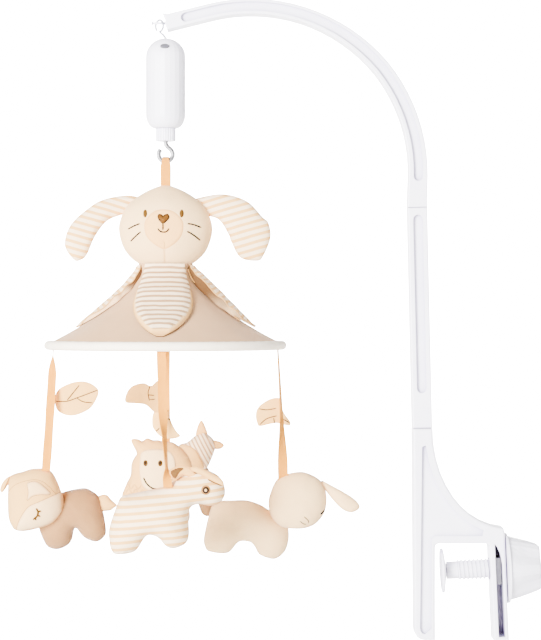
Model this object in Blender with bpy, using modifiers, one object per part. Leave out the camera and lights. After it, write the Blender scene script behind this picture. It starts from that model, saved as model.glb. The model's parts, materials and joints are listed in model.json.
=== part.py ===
"""Crib mobile: a clamp-on arm, a music box, and a rabbit canopy with hanging soft toys.

Frame: metres, +Z up, +X towards the clamp knob, -Y towards the viewer of the rabbit's face.
The origin is the middle of the rail seat, the flat underside of the clamp bracket's bridge.
Run with: blender --background --python part.py
"""

import math

import bmesh
import bpy
from mathutils import Matrix, Vector
from mathutils.geometry import interpolate_bezier

MM = 0.001
GAP = 0.3 * MM

# ---- driving dimensions -------------------------------------------------------------------

# Clamp bracket: a fixed jaw, a bridge that sits on the rail, and a leaning screw jaw.
BRACKET_DEPTH = 30 * MM
JAW_OPENING = 54 * MM
JAW_LENGTH = 96 * MM
FIXED_JAW_WIDTH = 20.6 * MM
SCREW_JAW_WIDTH = 15.3 * MM
SCREW_JAW_LEAN = math.radians(2.5)
RIM = 5.5 * MM
RECESS_DEPTH = 4 * MM

# Arm: a straight post plugged into the bracket, and an arch plugged into the post.
ARM_DEPTH = 22 * MM
POST_WIDTH = 19.4 * MM
POST_LEAN = math.radians(1.28)
POST_FOOT = Vector((-39.2 * MM, 114 * MM))
POST_LENGTH = 220 * MM
ARCH_CENTRE = Vector((-210 * MM, 365 * MM))
ARCH_RADIUS = 169.3 * MM
ARCH_FOOT_RADIUS = 166.6 * MM
ARCH_SWEEP = 104
ARCH_TOP_WIDTH = 15.3 * MM
TENON = Vector((10 * MM, 8 * MM, 16 * MM))

# Clamp screw, on an axis that rises a little towards the knob.
SCREW_DROP = 27.7 * MM
SCREW_RISE = SCREW_JAW_LEAN
THREAD_MAJOR = 10.5 * MM
THREAD_MINOR = 9.0 * MM
THREAD_PITCH = 4.1 * MM
THREAD_START = -3.5 * MM
THREAD_END = 44 * MM
NECK_RADIUS = 8.8 * MM
PAD_FACE = -20 * MM
PAD_RADIUS = 22.3 * MM
PAD_THICKNESS = 4.5 * MM
BALL_RADIUS = 3.2 * MM
KNOB_START = 44.8 * MM
KNOB_RADIUS = 35 * MM
KNOB_LENGTH = 33 * MM
KNOB_LOBES = 6

# Music box, hung by an eye on the pin in the arm's tip.
AXIS_X = -295.3 * MM
PIN_Z = 518.6 * MM
PIN_RADIUS = 1.3 * MM
EYE_OFFSET = -6.2 * MM
EYE_WIRE = 1.1 * MM
EYE_HALF_WIDTH = 5.2 * MM
EYE_HALF_HEIGHT = 5.8 * MM
EYE_TURN = math.radians(40)
CASE_BASE_Z = 413.5 * MM
CASE_HEIGHT = 90 * MM
CASE_RADIUS = 19.8 * MM
CASE_WALL = 1.8 * MM
CASE_DOME = 18.5 * MM
CASE_FOOT_RADIUS = 10.3 * MM
CASE_FOOT_HEIGHT = 14 * MM
TOP_HOLE = 3.2 * MM
BASE_HOLE = 6.0 * MM
GEAR_MODULE = 0.4 * MM
GEAR_TEETH = 44
PINION_TEETH = 10
SHAFT_RADIUS = 2.3 * MM
COLLAR_RADIUS = 10 * MM
COLLAR_LENGTH = 12.4 * MM
HOOK_WIRE = 2.3 * MM
HOOK_RADIUS = 7.05 * MM
HOOK_CENTRE_DROP = 26 * MM

# Canopy: rabbit head, petals, cone and hoop.
HEAD_Z = 317 * MM
HEAD_TOP = 39 * MM
HEAD_FLATNESS = 0.7
NECK_Z = 275 * MM
HOOP_Z = 196.8 * MM
HOOP_RADIUS = 116.4 * MM
SLEEVE_RADIUS = 4.65 * MM
HOOP_WIRE = 2.2 * MM
CONE_WALL = 1.2 * MM
PETAL_THICKNESS = 5 * MM
RIBBON_WIDTH = 10 * MM
RIBBON_THICKNESS = 0.8 * MM
RIBBON_DROP = 1.2 * MM
ATTACH_RADIUS = 112 * MM
HOOP_TURN = math.radians(2)
TOY_THICKNESS = 22 * MM

# ---- colours ------------------------------------------------------------------------------

WHITE = ("white_plastic", (0.86, 0.85, 0.89), 0.35, 0.0)
CLEAR = ("clear_plastic", (0.88, 0.88, 0.90), 0.15, 0.0)
GREY = ("grey_plastic", (0.35, 0.33, 0.36), 0.45, 0.0)
STEEL = ("satin_steel", (0.62, 0.63, 0.64), 0.35, 1.0)
BRASS = ("brass", (0.72, 0.55, 0.25), 0.35, 1.0)
BOARD = ("circuit_board", (0.05, 0.30, 0.14), 0.5, 0.0)
CELL = ("battery_sleeve", (0.12, 0.20, 0.38), 0.4, 0.0)
NYLON = ("gear_nylon", (0.85, 0.83, 0.76), 0.5, 0.0)
BLACK = ("black_plastic", (0.03, 0.03, 0.03), 0.6, 0.0)
CREAM = ("cream_fabric", (0.90, 0.82, 0.72), 0.9, 0.0)
BEIGE = ("beige_fabric", (0.80, 0.66, 0.50), 0.9, 0.0)
STRIPED = ("striped_fabric", (0.88, 0.76, 0.63), 0.9, 0.0)
PEACH = ("peach_ribbon", (0.88, 0.60, 0.36), 0.7, 0.0)

FULL_TURN = 2 * math.pi
UPRIGHT = (math.pi / 2, 0, 0)


# ---- scene helpers --------------------------------------------------------------------------

def clear_scene():
    for item in list(bpy.data.objects):
        bpy.data.objects.remove(item, do_unlink=True)


def new_collection(name):
    group = bpy.data.collections.new(name)
    bpy.context.scene.collection.children.link(group)
    return group


clear_scene()
PARTS = new_collection("crib_mobile")
CUTTERS = new_collection("cutters")


def material_of(finish):
    name, colour, roughness, metallic = finish
    known = bpy.data.materials.get(name)
    if known:
        return known
    made = bpy.data.materials.new(name)
    made.use_nodes = True
    shader = made.node_tree.nodes["Principled BSDF"]
    shader.inputs["Base Color"].default_value = (*colour, 1.0)
    shader.inputs["Roughness"].default_value = roughness
    shader.inputs["Metallic"].default_value = metallic
    return made


def empty(name, location, rotation=(0, 0, 0)):
    """A pivot that moving pieces are parented to."""
    item = bpy.data.objects.new(name, None)
    PARTS.objects.link(item)
    item.location = location
    item.rotation_euler = rotation
    return item


def add_object(name, data, finish, parent, location=(0, 0, 0), rotation=(0, 0, 0)):
    """Link an object; its location is in the parent's frame."""
    item = bpy.data.objects.new(name, data)
    PARTS.objects.link(item)
    data.materials.append(material_of(finish))
    item.parent = parent
    item.location = location
    item.rotation_euler = rotation
    return item


def as_cutter(item):
    PARTS.objects.unlink(item)
    CUTTERS.objects.link(item)
    item.hide_render = True
    item.display_type = "WIRE"
    return item


def boolean(item, other, operation):
    modifier = item.modifiers.new(other.name, "BOOLEAN")
    modifier.object = other
    modifier.operation = operation


def cut(item, cutter):
    boolean(item, cutter, "DIFFERENCE")


def join(item, other):
    boolean(item, as_cutter(other), "UNION")


def shade_round(mesh):
    mesh.shade_smooth()
    mesh.set_sharp_from_angle(angle=math.radians(35))


def mesh_from_bmesh(name, bm):
    bmesh.ops.recalc_face_normals(bm, faces=bm.faces)
    mesh = bpy.data.meshes.new(name)
    bm.to_mesh(mesh)
    bm.free()
    return mesh


def meshed_curve(item):
    """Replace a curve object with a welded mesh object, ready for Booleans."""
    bpy.context.view_layer.update()
    evaluated = item.evaluated_get(bpy.context.evaluated_depsgraph_get())
    mesh = bpy.data.meshes.new_from_object(evaluated)
    bm = bmesh.new()
    bm.from_mesh(mesh)
    bmesh.ops.remove_doubles(bm, verts=bm.verts, dist=0.001 * MM)
    bm.to_mesh(mesh)
    bm.free()
    solid = bpy.data.objects.new(item.name, mesh)
    PARTS.objects.link(solid)
    solid.parent = item.parent
    solid.location = item.location
    solid.rotation_euler = item.rotation_euler
    name = item.name
    bpy.data.objects.remove(item, do_unlink=True)
    solid.name = name
    return solid


# ---- shape helpers ----------------------------------------------------------------------------

def box(name, size, finish, parent, location=(0, 0, 0), rotation=(0, 0, 0)):
    bm = bmesh.new()
    bmesh.ops.create_cube(bm, size=1.0)
    bmesh.ops.scale(bm, vec=size, verts=bm.verts)
    return add_object(name, mesh_from_bmesh(name, bm), finish, parent, location, rotation)


def cylinder(name, radius, low, high, finish, parent, location=(0, 0, 0), rotation=(0, 0, 0), sides=24):
    """A cylinder along the local Z axis, from low to high."""
    bm = bmesh.new()
    middle = Matrix.Translation((0, 0, (low + high) / 2))
    bmesh.ops.create_cone(
        bm, cap_ends=True, segments=sides, radius1=radius, radius2=radius, depth=high - low, matrix=middle
    )
    mesh = mesh_from_bmesh(name, bm)
    shade_round(mesh)
    return add_object(name, mesh, finish, parent, location, rotation)


def turned(name, profile, finish, parent, location=(0, 0, 0), rotation=(0, 0, 0), steps=32,
           angle=FULL_TURN):
    """A profile of (radius, height) points, top to bottom on its outer side, turned about Z."""
    mesh = bpy.data.meshes.new(name)
    links = [(i, i + 1) for i in range(len(profile) - 1)]
    mesh.from_pydata([(radius, 0, height) for radius, height in profile], links, [])
    item = add_object(name, mesh, finish, parent, location, rotation)
    screw = item.modifiers.new("turn", "SCREW")
    screw.angle = angle
    screw.steps = steps
    screw.render_steps = steps
    screw.use_merge_vertices = True
    screw.merge_threshold = 0.01 * MM
    screw.use_smooth_shade = True
    return item


def outline_curve(name, outlines, half_depth, round_edge, smooth):
    """A flat closed outline, or several with holes, thickened both ways."""
    curve = bpy.data.curves.new(name, "CURVE")
    curve.dimensions = "2D"
    curve.fill_mode = "BOTH"
    curve.extrude = half_depth - round_edge
    curve.bevel_depth = round_edge
    curve.offset = -round_edge
    curve.bevel_resolution = 0 if smooth else 1
    curve.resolution_u = 2
    for outline in outlines:
        spline = curve.splines.new("BEZIER" if smooth else "POLY")
        points = spline.bezier_points if smooth else spline.points
        points.add(len(outline) - 1)
        for point, place in zip(points, outline):
            if smooth:
                point.co = (place[0], place[1], 0)
                point.handle_left_type = "AUTO"
                point.handle_right_type = "AUTO"
            else:
                point.co = (place[0], place[1], 0, 1)
        spline.use_cyclic_u = True
    return curve


def plate(name, outline, depth, finish, parent, location=(0, 0, 0), rotation=UPRIGHT, round_edge=0.0):
    """A plate with a straight-edged outline, as a mesh that Booleans can cut."""
    curve = outline_curve(name, [outline], depth / 2, round_edge, smooth=False)
    return meshed_curve(add_object(name, curve, finish, parent, location, rotation))


def pillow(name, outline, depth, finish, parent, location=(0, 0, 0), round_edge=2 * MM):
    """A soft stuffed shape: a smooth outline given in millimetres, thickened with round edges."""
    places = [(x * MM, z * MM) for x, z in outline]
    curve = outline_curve(name, [places], depth / 2, round_edge, smooth=True)
    return add_object(name, curve, finish, parent, location, UPRIGHT)


def tube(name, points, radius, finish, parent, location=(0, 0, 0), rotation=(0, 0, 0), cyclic=False):
    curve = bpy.data.curves.new(name, "CURVE")
    curve.dimensions = "3D"
    curve.bevel_depth = radius
    curve.bevel_resolution = 2
    curve.use_fill_caps = not cyclic
    spline = curve.splines.new("POLY")
    spline.points.add(len(points) - 1)
    for point, place in zip(spline.points, points):
        point.co = (*place, 1)
    spline.use_cyclic_u = cyclic
    return add_object(name, curve, finish, parent, location, rotation)


def loft(name, rings, finish, parent, location=(0, 0, 0), rotation=(0, 0, 0), looped=False):
    """Skin rings that all have the same number of points; the two end rings are capped."""
    bm = bmesh.new()
    loops = [[bm.verts.new(place) for place in ring] for ring in rings]
    pairs = list(zip(loops, loops[1:]))
    if looped:
        pairs.append((loops[-1], loops[0]))
    for low, high in pairs:
        for i in range(len(low)):
            j = (i + 1) % len(low)
            bm.faces.new((low[i], low[j], high[j], high[i]))
    if not looped:
        bm.faces.new(loops[0])
        bm.faces.new(loops[-1])
    mesh = mesh_from_bmesh(name, bm)
    shade_round(mesh)
    return add_object(name, mesh, finish, parent, location, rotation)


def ring_points(radius, height, sides, wave=0.0, waves=0, flat=1.0):
    """Points round the Z axis, with an optional scalloped edge and a flattened Y."""
    places = []
    for i in range(sides):
        turn = FULL_TURN * i / sides
        reach = radius - wave * (0.5 + 0.5 * math.cos(waves * turn))
        places.append((reach * math.cos(turn), flat * reach * math.sin(turn), height))
    return places


def arc(centre, radius_x, radius_z, start, end, count):
    """Points on an elliptical arc, angles in degrees."""
    places = []
    for i in range(count + 1):
        turn = math.radians(start + (end - start) * i / count)
        places.append(Vector((centre[0] + radius_x * math.cos(turn),
                              centre[1] + radius_z * math.sin(turn))))
    return places


def strip_outline(path, half_widths):
    """Outline of a strip with the given half widths along a flat path."""
    left, right = [], []
    for i, place in enumerate(path):
        along = path[min(i + 1, len(path) - 1)] - path[max(i - 1, 0)]
        across = along.normalized().orthogonal()
        left.append(place + across * half_widths[i])
        right.append(place - across * half_widths[i])
    return left + right[::-1]


def slot_outline(path, half_width):
    """Outline of a channel of constant width with round ends."""
    ends = []
    for tip, inner in ((path[-1], path[-2]), (path[0], path[1])):
        heading = math.degrees(math.atan2(*(tip - inner).yx))
        ends.append(arc(tip, half_width, half_width, heading + 60, heading - 60, 4))
    sides = strip_outline(path, [half_width] * len(path))
    left, right = sides[: len(path)], sides[len(path):]
    return left + ends[0] + right + ends[1]


def recess(item, outline, depth, parent):
    """Sink a channel into the front and the back face of a plate."""
    for side, face in (("front", -1), ("back", 1)):
        cutter = plate(f"{item.name}_{side}_recess", outline, 2 * RECESS_DEPTH, WHITE, parent)
        cutter.location.y = face * depth / 2
        cut(item, as_cutter(cutter))


# ---- the arm -----------------------------------------------------------------------------------

def post_point(height):
    """Point on the leaning centreline of the post, by height above its foot."""
    return POST_FOOT + height * Vector((-math.tan(POST_LEAN), 1))


def add_tenon(item, joint, parent):
    """A tongue under an arm section, and the matching pocket's cutter."""
    centre = (joint.x + TENON.z / 2 * math.tan(POST_LEAN), 0, joint.y - TENON.z / 2)
    lean = (0, -POST_LEAN, 0)
    tongue = box(f"{item.name}_tenon", TENON + Vector((0, 0, 4 * MM)), WHITE, parent, centre, lean)
    tongue.location.z += 2 * MM
    tongue.location.x -= 2 * MM * math.tan(POST_LEAN)
    join(item, tongue)
    pocket = box(f"{item.name}_pocket", TENON + Vector((2, 2, 2)) * GAP, WHITE, parent, centre, lean)
    pocket.location.z += GAP
    return as_cutter(pocket)


def arch_path():
    """Centreline of the arch: a short straight, a round sweep, and a straight tip."""
    foot = post_point(POST_LENGTH) + Vector((0, GAP))
    path = [foot, foot + post_point(6 * MM) - post_point(0)]
    step = 4
    for degrees in range(0, ARCH_SWEEP + 1, step):
        turn = math.radians(degrees)
        radius = ARCH_RADIUS + (ARCH_FOOT_RADIUS - ARCH_RADIUS) * max(1 - degrees / 40, 0)
        path.append(ARCH_CENTRE + radius * Vector((math.cos(turn), math.sin(turn))))
    sweep_end = math.radians(ARCH_SWEEP)
    heading = Vector((-math.sin(sweep_end), math.cos(sweep_end)))
    tip_run = (path[-1].x - (AXIS_X + 4 * MM)) / -heading.x
    path.append(path[-1] + heading * tip_run * 0.6)
    path.append(path[-1] + heading * tip_run * 0.4)
    return path


def arch_half_width(index, count):
    """Half width along the arch, easing from the post's width to the slim top."""
    ease = min(1.0, 1.6 * index / count)
    return (POST_WIDTH * (1 - ease) + ARCH_TOP_WIDTH * ease) / 2


def build_arch(parent):
    path = arch_path()
    halves = [arch_half_width(i, len(path)) for i in range(len(path))]
    outline = strip_outline(path, halves)
    tip_top = outline[len(path)]
    tip_under = outline[len(path) - 1]
    lip = [tip_under + Vector((-3.9, -1.1)) * MM, tip_under + Vector((-6, 4.5)) * MM]
    lip += [tip_top + Vector((-2.2, -4.7)) * MM, tip_top + Vector((-5, 0.9)) * MM]
    outline[len(path):len(path)] = lip
    arch = plate("arch_arm", outline, ARM_DEPTH, WHITE, parent, round_edge=1.2 * MM)
    channel = slot_outline(path[2:-1], ARCH_TOP_WIDTH / 2 - 3 * MM)
    recess(arch, channel, ARM_DEPTH, parent)
    pocket = add_tenon(arch, post_point(POST_LENGTH), parent)
    socket = cylinder(
        "pin_socket", PIN_RADIUS + GAP, -14 * MM, 20 * MM, WHITE, parent,
        (AXIS_X, 0, PIN_Z), (0, -math.pi / 2, 0), sides=16,
    )
    cut(arch, as_cutter(socket))
    return pocket


def build_post(parent, top_pocket):
    path = [post_point(GAP), post_point(POST_LENGTH)]
    post = plate("middle_post", strip_outline(path, [POST_WIDTH / 2] * 2), ARM_DEPTH, WHITE, parent,
                 round_edge=1.2 * MM)
    channel = [post_point(40 * MM), post_point(POST_LENGTH - 12 * MM)]
    recess(post, slot_outline(channel, 4.8 * MM), ARM_DEPTH, parent)
    cut(post, top_pocket)
    return add_tenon(post, post_point(0), parent)


def bracket_outline():
    """The bracket's front view, clockwise from the top of the fixed jaw's outer side."""
    top_left = POST_FOOT + Vector((-POST_WIDTH / 2, 0))
    top_right = POST_FOOT + Vector((POST_WIDTH / 2, 0))
    half = JAW_OPENING / 2
    outer = -half - FIXED_JAW_WIDTH
    corner = 10 * MM
    lean = math.tan(SCREW_JAW_LEAN)
    jaw_out = half + SCREW_JAW_WIDTH
    gusset = arc((jaw_out + 4 * MM, top_right.y), jaw_out + 4 * MM - top_right.x, 99 * MM, 180, 266, 10)
    outline = gusset + [Vector((jaw_out, 10 * MM))]
    outline.append(Vector((jaw_out + JAW_LENGTH * lean, -JAW_LENGTH)))
    outline.append(Vector((half + JAW_LENGTH * lean, -JAW_LENGTH)))
    outline += arc((half - 4 * MM, -4 * MM), 4 * MM, 4 * MM, 0, 90, 3)
    outline += arc((-half + 4 * MM, -4 * MM), 4 * MM, 4 * MM, 90, 180, 3)
    outline.append(Vector((-half, -JAW_LENGTH)))
    outline += arc((outer + corner, corner - JAW_LENGTH), corner, corner, 270, 180, 4)
    outline.append(top_left)
    return outline


def bracket_recesses():
    """The long channel of the fixed jaw, and the web inside the gusset."""
    half = JAW_OPENING / 2
    outer = -half - FIXED_JAW_WIDTH
    top = 96 * MM
    inner_right = -half - 3.5 * MM
    web = arc((half + 20 * MM, top + 16 * MM), half + 20 * MM - outer - RIM - 5 * MM, 104 * MM, 188, 252, 7)
    outline = [Vector((outer + RIM + 2 * MM, top))] + web
    outline += [Vector((20 * MM, 7.5 * MM)), Vector((inner_right + 3 * MM, 7.5 * MM)),
                Vector((inner_right, 4 * MM))]
    outline.append(Vector((inner_right, -JAW_LENGTH + 12 * MM)))
    outline += arc((outer + RIM + 5 * MM, 12 * MM - JAW_LENGTH), 5 * MM, 6 * MM, 270, 180, 3)
    return outline


def screw_jaw_pocket():
    """The pocket that the nut slips into, open to the front and closed at the back."""
    lean = math.tan(SCREW_JAW_LEAN)
    inner = JAW_OPENING / 2 + 4.9 * MM
    outer = JAW_OPENING / 2 + SCREW_JAW_WIDTH - 3.6 * MM
    low = 3 * MM - JAW_LENGTH
    outline = [Vector((inner, 0)), Vector((inner + 2.5 * MM, -3 * MM)), Vector((outer - 1 * MM, -10 * MM))]
    outline += [Vector((outer - 20 * MM * -lean, -20 * MM)), Vector((outer - low * lean, low))]
    outline.append(Vector((inner - low * lean, low)))
    return outline


def build_bracket(parent, post_pocket, screw_axis):
    bracket = plate("clamp_bracket", bracket_outline(), BRACKET_DEPTH, WHITE, parent, round_edge=2 * MM)
    recess(bracket, bracket_recesses(), BRACKET_DEPTH, parent)
    pocket = plate("jaw_pocket", screw_jaw_pocket(), BRACKET_DEPTH, WHITE, parent)
    pocket.location.y = -3 * MM
    cut(bracket, as_cutter(pocket))
    hole = cylinder("screw_hole", THREAD_MAJOR + 2 * GAP, 24 * MM, 52 * MM, WHITE, screw_axis)
    cut(bracket, as_cutter(hole))
    cut(bracket, post_pocket)
    return hole


def build_nut(parent, screw_hole):
    middle = JAW_OPENING / 2 + 7.8 * MM + SCREW_DROP * math.tan(SCREW_JAW_LEAN)
    size = (5 * MM, 25.2 * MM, 26 * MM)
    nut = box("clamp_nut", size, STEEL, parent, (middle, -0.9 * MM, -SCREW_DROP), (0, -SCREW_JAW_LEAN, 0))
    cut(nut, screw_hole)


# ---- the clamp screw ---------------------------------------------------------------------------

def build_stud(axis):
    """The ball-ended neck that carries the pad and does not turn with the screw."""
    centre = PAD_FACE + 4.2 * MM
    shoulder = PAD_FACE + 5.6 * MM
    ball = arc((0, centre), BALL_RADIUS, BALL_RADIUS, 40, -90, 6)
    neck_end = THREAD_START - GAP
    spigot = 3 * MM
    profile = [(0, THREAD_START + 12 * MM), (spigot, THREAD_START + 12 * MM), (spigot, neck_end)]
    profile += [(NECK_RADIUS, neck_end), (NECK_RADIUS, shoulder), (2.4 * MM, shoulder)]
    profile += [(place.x, place.y) for place in ball]
    profile[-1] = (0, centre - BALL_RADIUS)
    turned("swivel_stud", profile, WHITE, axis, steps=20)
    return centre


def build_pad(axis, ball_centre):
    """The pressure pad: a shallow disc with a cup for the stud's ball."""
    back = PAD_FACE + PAD_THICKNESS
    profile = [(0, back), (9 * MM, back), (PAD_RADIUS - 1 * MM, PAD_FACE + 2.6 * MM)]
    profile += [(PAD_RADIUS, PAD_FACE + 1.8 * MM), (PAD_RADIUS, PAD_FACE + 0.8 * MM)]
    profile += [(PAD_RADIUS - 0.8 * MM, PAD_FACE), (0, PAD_FACE)]
    pad = turned("pressure_pad", profile, WHITE, axis, steps=24)
    bm = bmesh.new()
    bmesh.ops.create_uvsphere(bm, u_segments=20, v_segments=10, radius=BALL_RADIUS + GAP)
    cup = add_object("pad_cup", mesh_from_bmesh("pad_cup", bm), WHITE, axis, (0, 0, ball_centre))
    cut(pad, as_cutter(cup))


def threaded_rod(name, steps=14):
    """A helical sweep of one thread form, trimmed square and closed at both ends."""
    turns = math.ceil((THREAD_END - THREAD_START) / THREAD_PITCH) + 3
    form = [(THREAD_MINOR, 0), (THREAD_MINOR, -0.2), (THREAD_MAJOR, -0.42), (THREAD_MAJOR, -0.58),
            (THREAD_MINOR, -0.8)]
    form.append((THREAD_MINOR, -1.0))
    bm = bmesh.new()
    rings = []
    for i in range(turns * steps + 1):
        turn = FULL_TURN * i / steps
        rise = THREAD_START + (i / steps - 1) * THREAD_PITCH
        ring = [(r * math.cos(turn), r * math.sin(turn), rise + h * THREAD_PITCH) for r, h in form]
        rings.append([bm.verts.new(place) for place in ring])
    for first, second in zip(rings, rings[1:]):
        for i in range(len(form) - 1):
            bm.faces.new((first[i], first[i + 1], second[i + 1], second[i]))
    bmesh.ops.remove_doubles(bm, verts=bm.verts, dist=0.001 * MM)
    for height, outward in ((THREAD_START, -1), (THREAD_END, 1)):
        parts = bm.verts[:] + bm.edges[:] + bm.faces[:]
        bmesh.ops.bisect_plane(
            bm, geom=parts, plane_co=(0, 0, height), plane_no=(0, 0, outward), clear_outer=True, dist=1e-7
        )
        rim = [edge for edge in bm.edges if edge.is_boundary and abs(edge.verts[0].co.z - height) < 1e-6
               and abs(edge.verts[1].co.z - height) < 1e-6]
        bmesh.ops.edgeloop_fill(bm, edges=rim)
    return mesh_from_bmesh(name, bm)


def build_screw(axis):
    mesh = threaded_rod("clamp_screw")
    shade_round(mesh)
    screw = add_object("clamp_screw", mesh, WHITE, axis)
    shank = cylinder("screw_shank", 8 * MM, THREAD_END - 2 * MM, KNOB_START + 14 * MM, WHITE, axis)
    join(screw, shank)
    bore = cylinder("stud_bore", 3.3 * MM, THREAD_START - 2 * MM, THREAD_START + 12.6 * MM, WHITE, axis,
                    sides=20)
    cut(screw, as_cutter(bore))


def build_knob(axis):
    """A scalloped hand knob with a thin flange on its jaw side."""
    sides = KNOB_LOBES * 6
    rings = [ring_points(KNOB_RADIUS, KNOB_START, sides), ring_points(KNOB_RADIUS, KNOB_START + 2 * MM,
                                                                      sides)]
    stations = ((0.07, 33.0, 0.6), (0.35, 31.2, 2.6), (0.7, 28.0, 4.0), (0.93, 25.4, 4.4), (1.0, 24.0, 4.4))
    for share, radius, flute in stations:
        rings.append(ring_points(radius * MM, KNOB_START + share * KNOB_LENGTH, sides, flute * MM,
                                 KNOB_LOBES))
    knob = loft("clamp_knob", rings, WHITE, axis)
    bore = cylinder("knob_bore", 8 * MM + GAP, KNOB_START - 2 * MM, KNOB_START + 14.6 * MM, WHITE, axis)
    cut(knob, as_cutter(bore))


# ---- the music box -----------------------------------------------------------------------------

def case_profile(inset=0.0):
    """Half outline of the case, from the top hole down to the base hole."""
    dome = arc((0, CASE_HEIGHT - CASE_DOME), CASE_RADIUS - inset, CASE_DOME - inset, 80, 0, 8)
    spread = CASE_RADIUS - CASE_FOOT_RADIUS
    foot = arc((CASE_FOOT_RADIUS, CASE_FOOT_HEIGHT), spread - inset, CASE_FOOT_HEIGHT - inset, 0, -90, 6)
    return [(TOP_HOLE, dome[0].y)] + [(p.x, p.y) for p in dome + foot] + [(BASE_HOLE, inset)]


def case_half(name, side, parent):
    """One half shell of the case, parted on the plane through its axis."""
    half = turned(
        name, case_profile(), WHITE, parent, (0, side * GAP, 0),
        (0, 0, 0 if side > 0 else math.pi), steps=12, angle=math.pi,
    )
    wall = half.modifiers.new("wall", "SOLIDIFY")
    wall.thickness = CASE_WALL
    wall.offset = -1
    return half


def button_axis():
    """Where the button sits on the dome, and the rotation that lays local Z along its travel."""
    height = CASE_HEIGHT - 10 * MM
    lift = (height - (CASE_HEIGHT - CASE_DOME)) / CASE_DOME
    reach = CASE_RADIUS * math.sqrt(1 - lift * lift)
    normal = math.atan2(lift / CASE_DOME, reach / CASE_RADIUS ** 2)
    return Vector((0, -reach, height)), (math.pi / 2 - normal, 0, 0)


def oval(width, height, depth, sides=16):
    return [(width / 2 * math.cos(FULL_TURN * i / sides), height / 2 * math.sin(FULL_TURN * i / sides),
             depth)
            for i in range(sides)]


def build_button(case):
    place, tilt = button_axis()
    width, height = 9 * MM, 5.3 * MM
    rings = [
        oval(width + 2 * MM, height + 2 * MM, -4.6 * MM), oval(width + 2 * MM, height + 2 * MM, -3.6 * MM),
        oval(width, height, -3.5 * MM), oval(width, height, 0.6 * MM),
        oval(width - 1.6 * MM, height - 1.6 * MM, 1.1 * MM),
    ]
    loft("power_button", rings, GREY, case, place, tilt)
    hole = [oval(width + 2 * GAP, height + 2 * GAP, depth) for depth in (-6 * MM, 6 * MM)]
    opening = loft("button_hole", hole, WHITE, case, place, tilt)
    inwards = Matrix.Rotation(tilt[0], 3, "X") @ Vector((0, 0, -6.4 * MM))
    cylinder("tact_switch", 2 * MM, -2.4 * MM, 0, BLACK, case, place + inwards, tilt, sides=12)
    return as_cutter(opening)


def build_case(case, spindle):
    front = case_half("case_front", -1, case)
    back = case_half("case_back", 1, case)
    cut(front, build_button(case))
    door = (22.6 * MM, 14 * MM, 50.6 * MM)
    door_middle = 45 * MM
    opening = box("battery_opening", door, WHITE, case, (0, CASE_RADIUS - 2 * MM, door_middle))
    cut(back, as_cutter(opening))
    for row in range(3):
        slot = box(f"sound_slot_{row}", (9 * MM, 8 * MM, 1.2 * MM), WHITE, case)
        slot.location = (0, CASE_RADIUS - 2 * MM, (9 + 3 * row) * MM)
        cut(back, as_cutter(slot))
    build_battery_door(case, door_middle, door[2] - 2 * GAP)
    build_works(case, spindle)


def build_battery_door(case, middle, height):
    profile = [(CASE_RADIUS, height / 2), (CASE_RADIUS, -height / 2)]
    spread = math.radians(66)
    door = turned(
        "battery_cover", profile, WHITE, case, (0, 0, middle), (0, 0, math.pi / 2 - spread / 2), steps=8,
        angle=spread
    )
    wall = door.modifiers.new("wall", "SOLIDIFY")
    wall.thickness = CASE_WALL
    wall.offset = -1
    drop = middle - height / 2 + 4 * MM
    hole = cylinder(
        "door_screw_hole", 1.2 * MM + GAP, -3 * MM, 3 * MM, WHITE, case, (0, CASE_RADIUS, drop),
        (-math.pi / 2, 0, 0), 12
    )
    cut(door, as_cutter(hole))
    cylinder(
        "cover_screw", 1.2 * MM, -3.4 * MM, 0.2 * MM, STEEL, case, (0, CASE_RADIUS, drop),
        (-math.pi / 2, 0, 0), 12
    )


def gear_outline(teeth, tip, root):
    """Points of a plain toothed wheel, four to a tooth."""
    places = []
    for tooth in range(teeth):
        for share, radius in ((-0.32, root), (-0.14, tip), (0.14, tip), (0.32, root)):
            turn = FULL_TURN * (tooth + share) / teeth
            places.append(Vector((radius * math.cos(turn), radius * math.sin(turn))))
    return places


def toothed_wheel(name, teeth, tip, root, bore, low, high, finish, parent, location=(0, 0, 0), turn=0.0):
    """A toothed wheel about local Z, from low to high, with a bore through it."""
    middle = Vector(location) + Vector((0, 0, (low + high) / 2))
    wheel = plate(name, gear_outline(teeth, tip, root), high - low, finish, parent, middle, (0, 0, turn))
    if bore:
        hole = cylinder(f"{name}_bore", bore, low - 1 * MM, high + 1 * MM, finish, parent, location,
                        sides=20)
        cut(wheel, as_cutter(hole))
    return wheel


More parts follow.
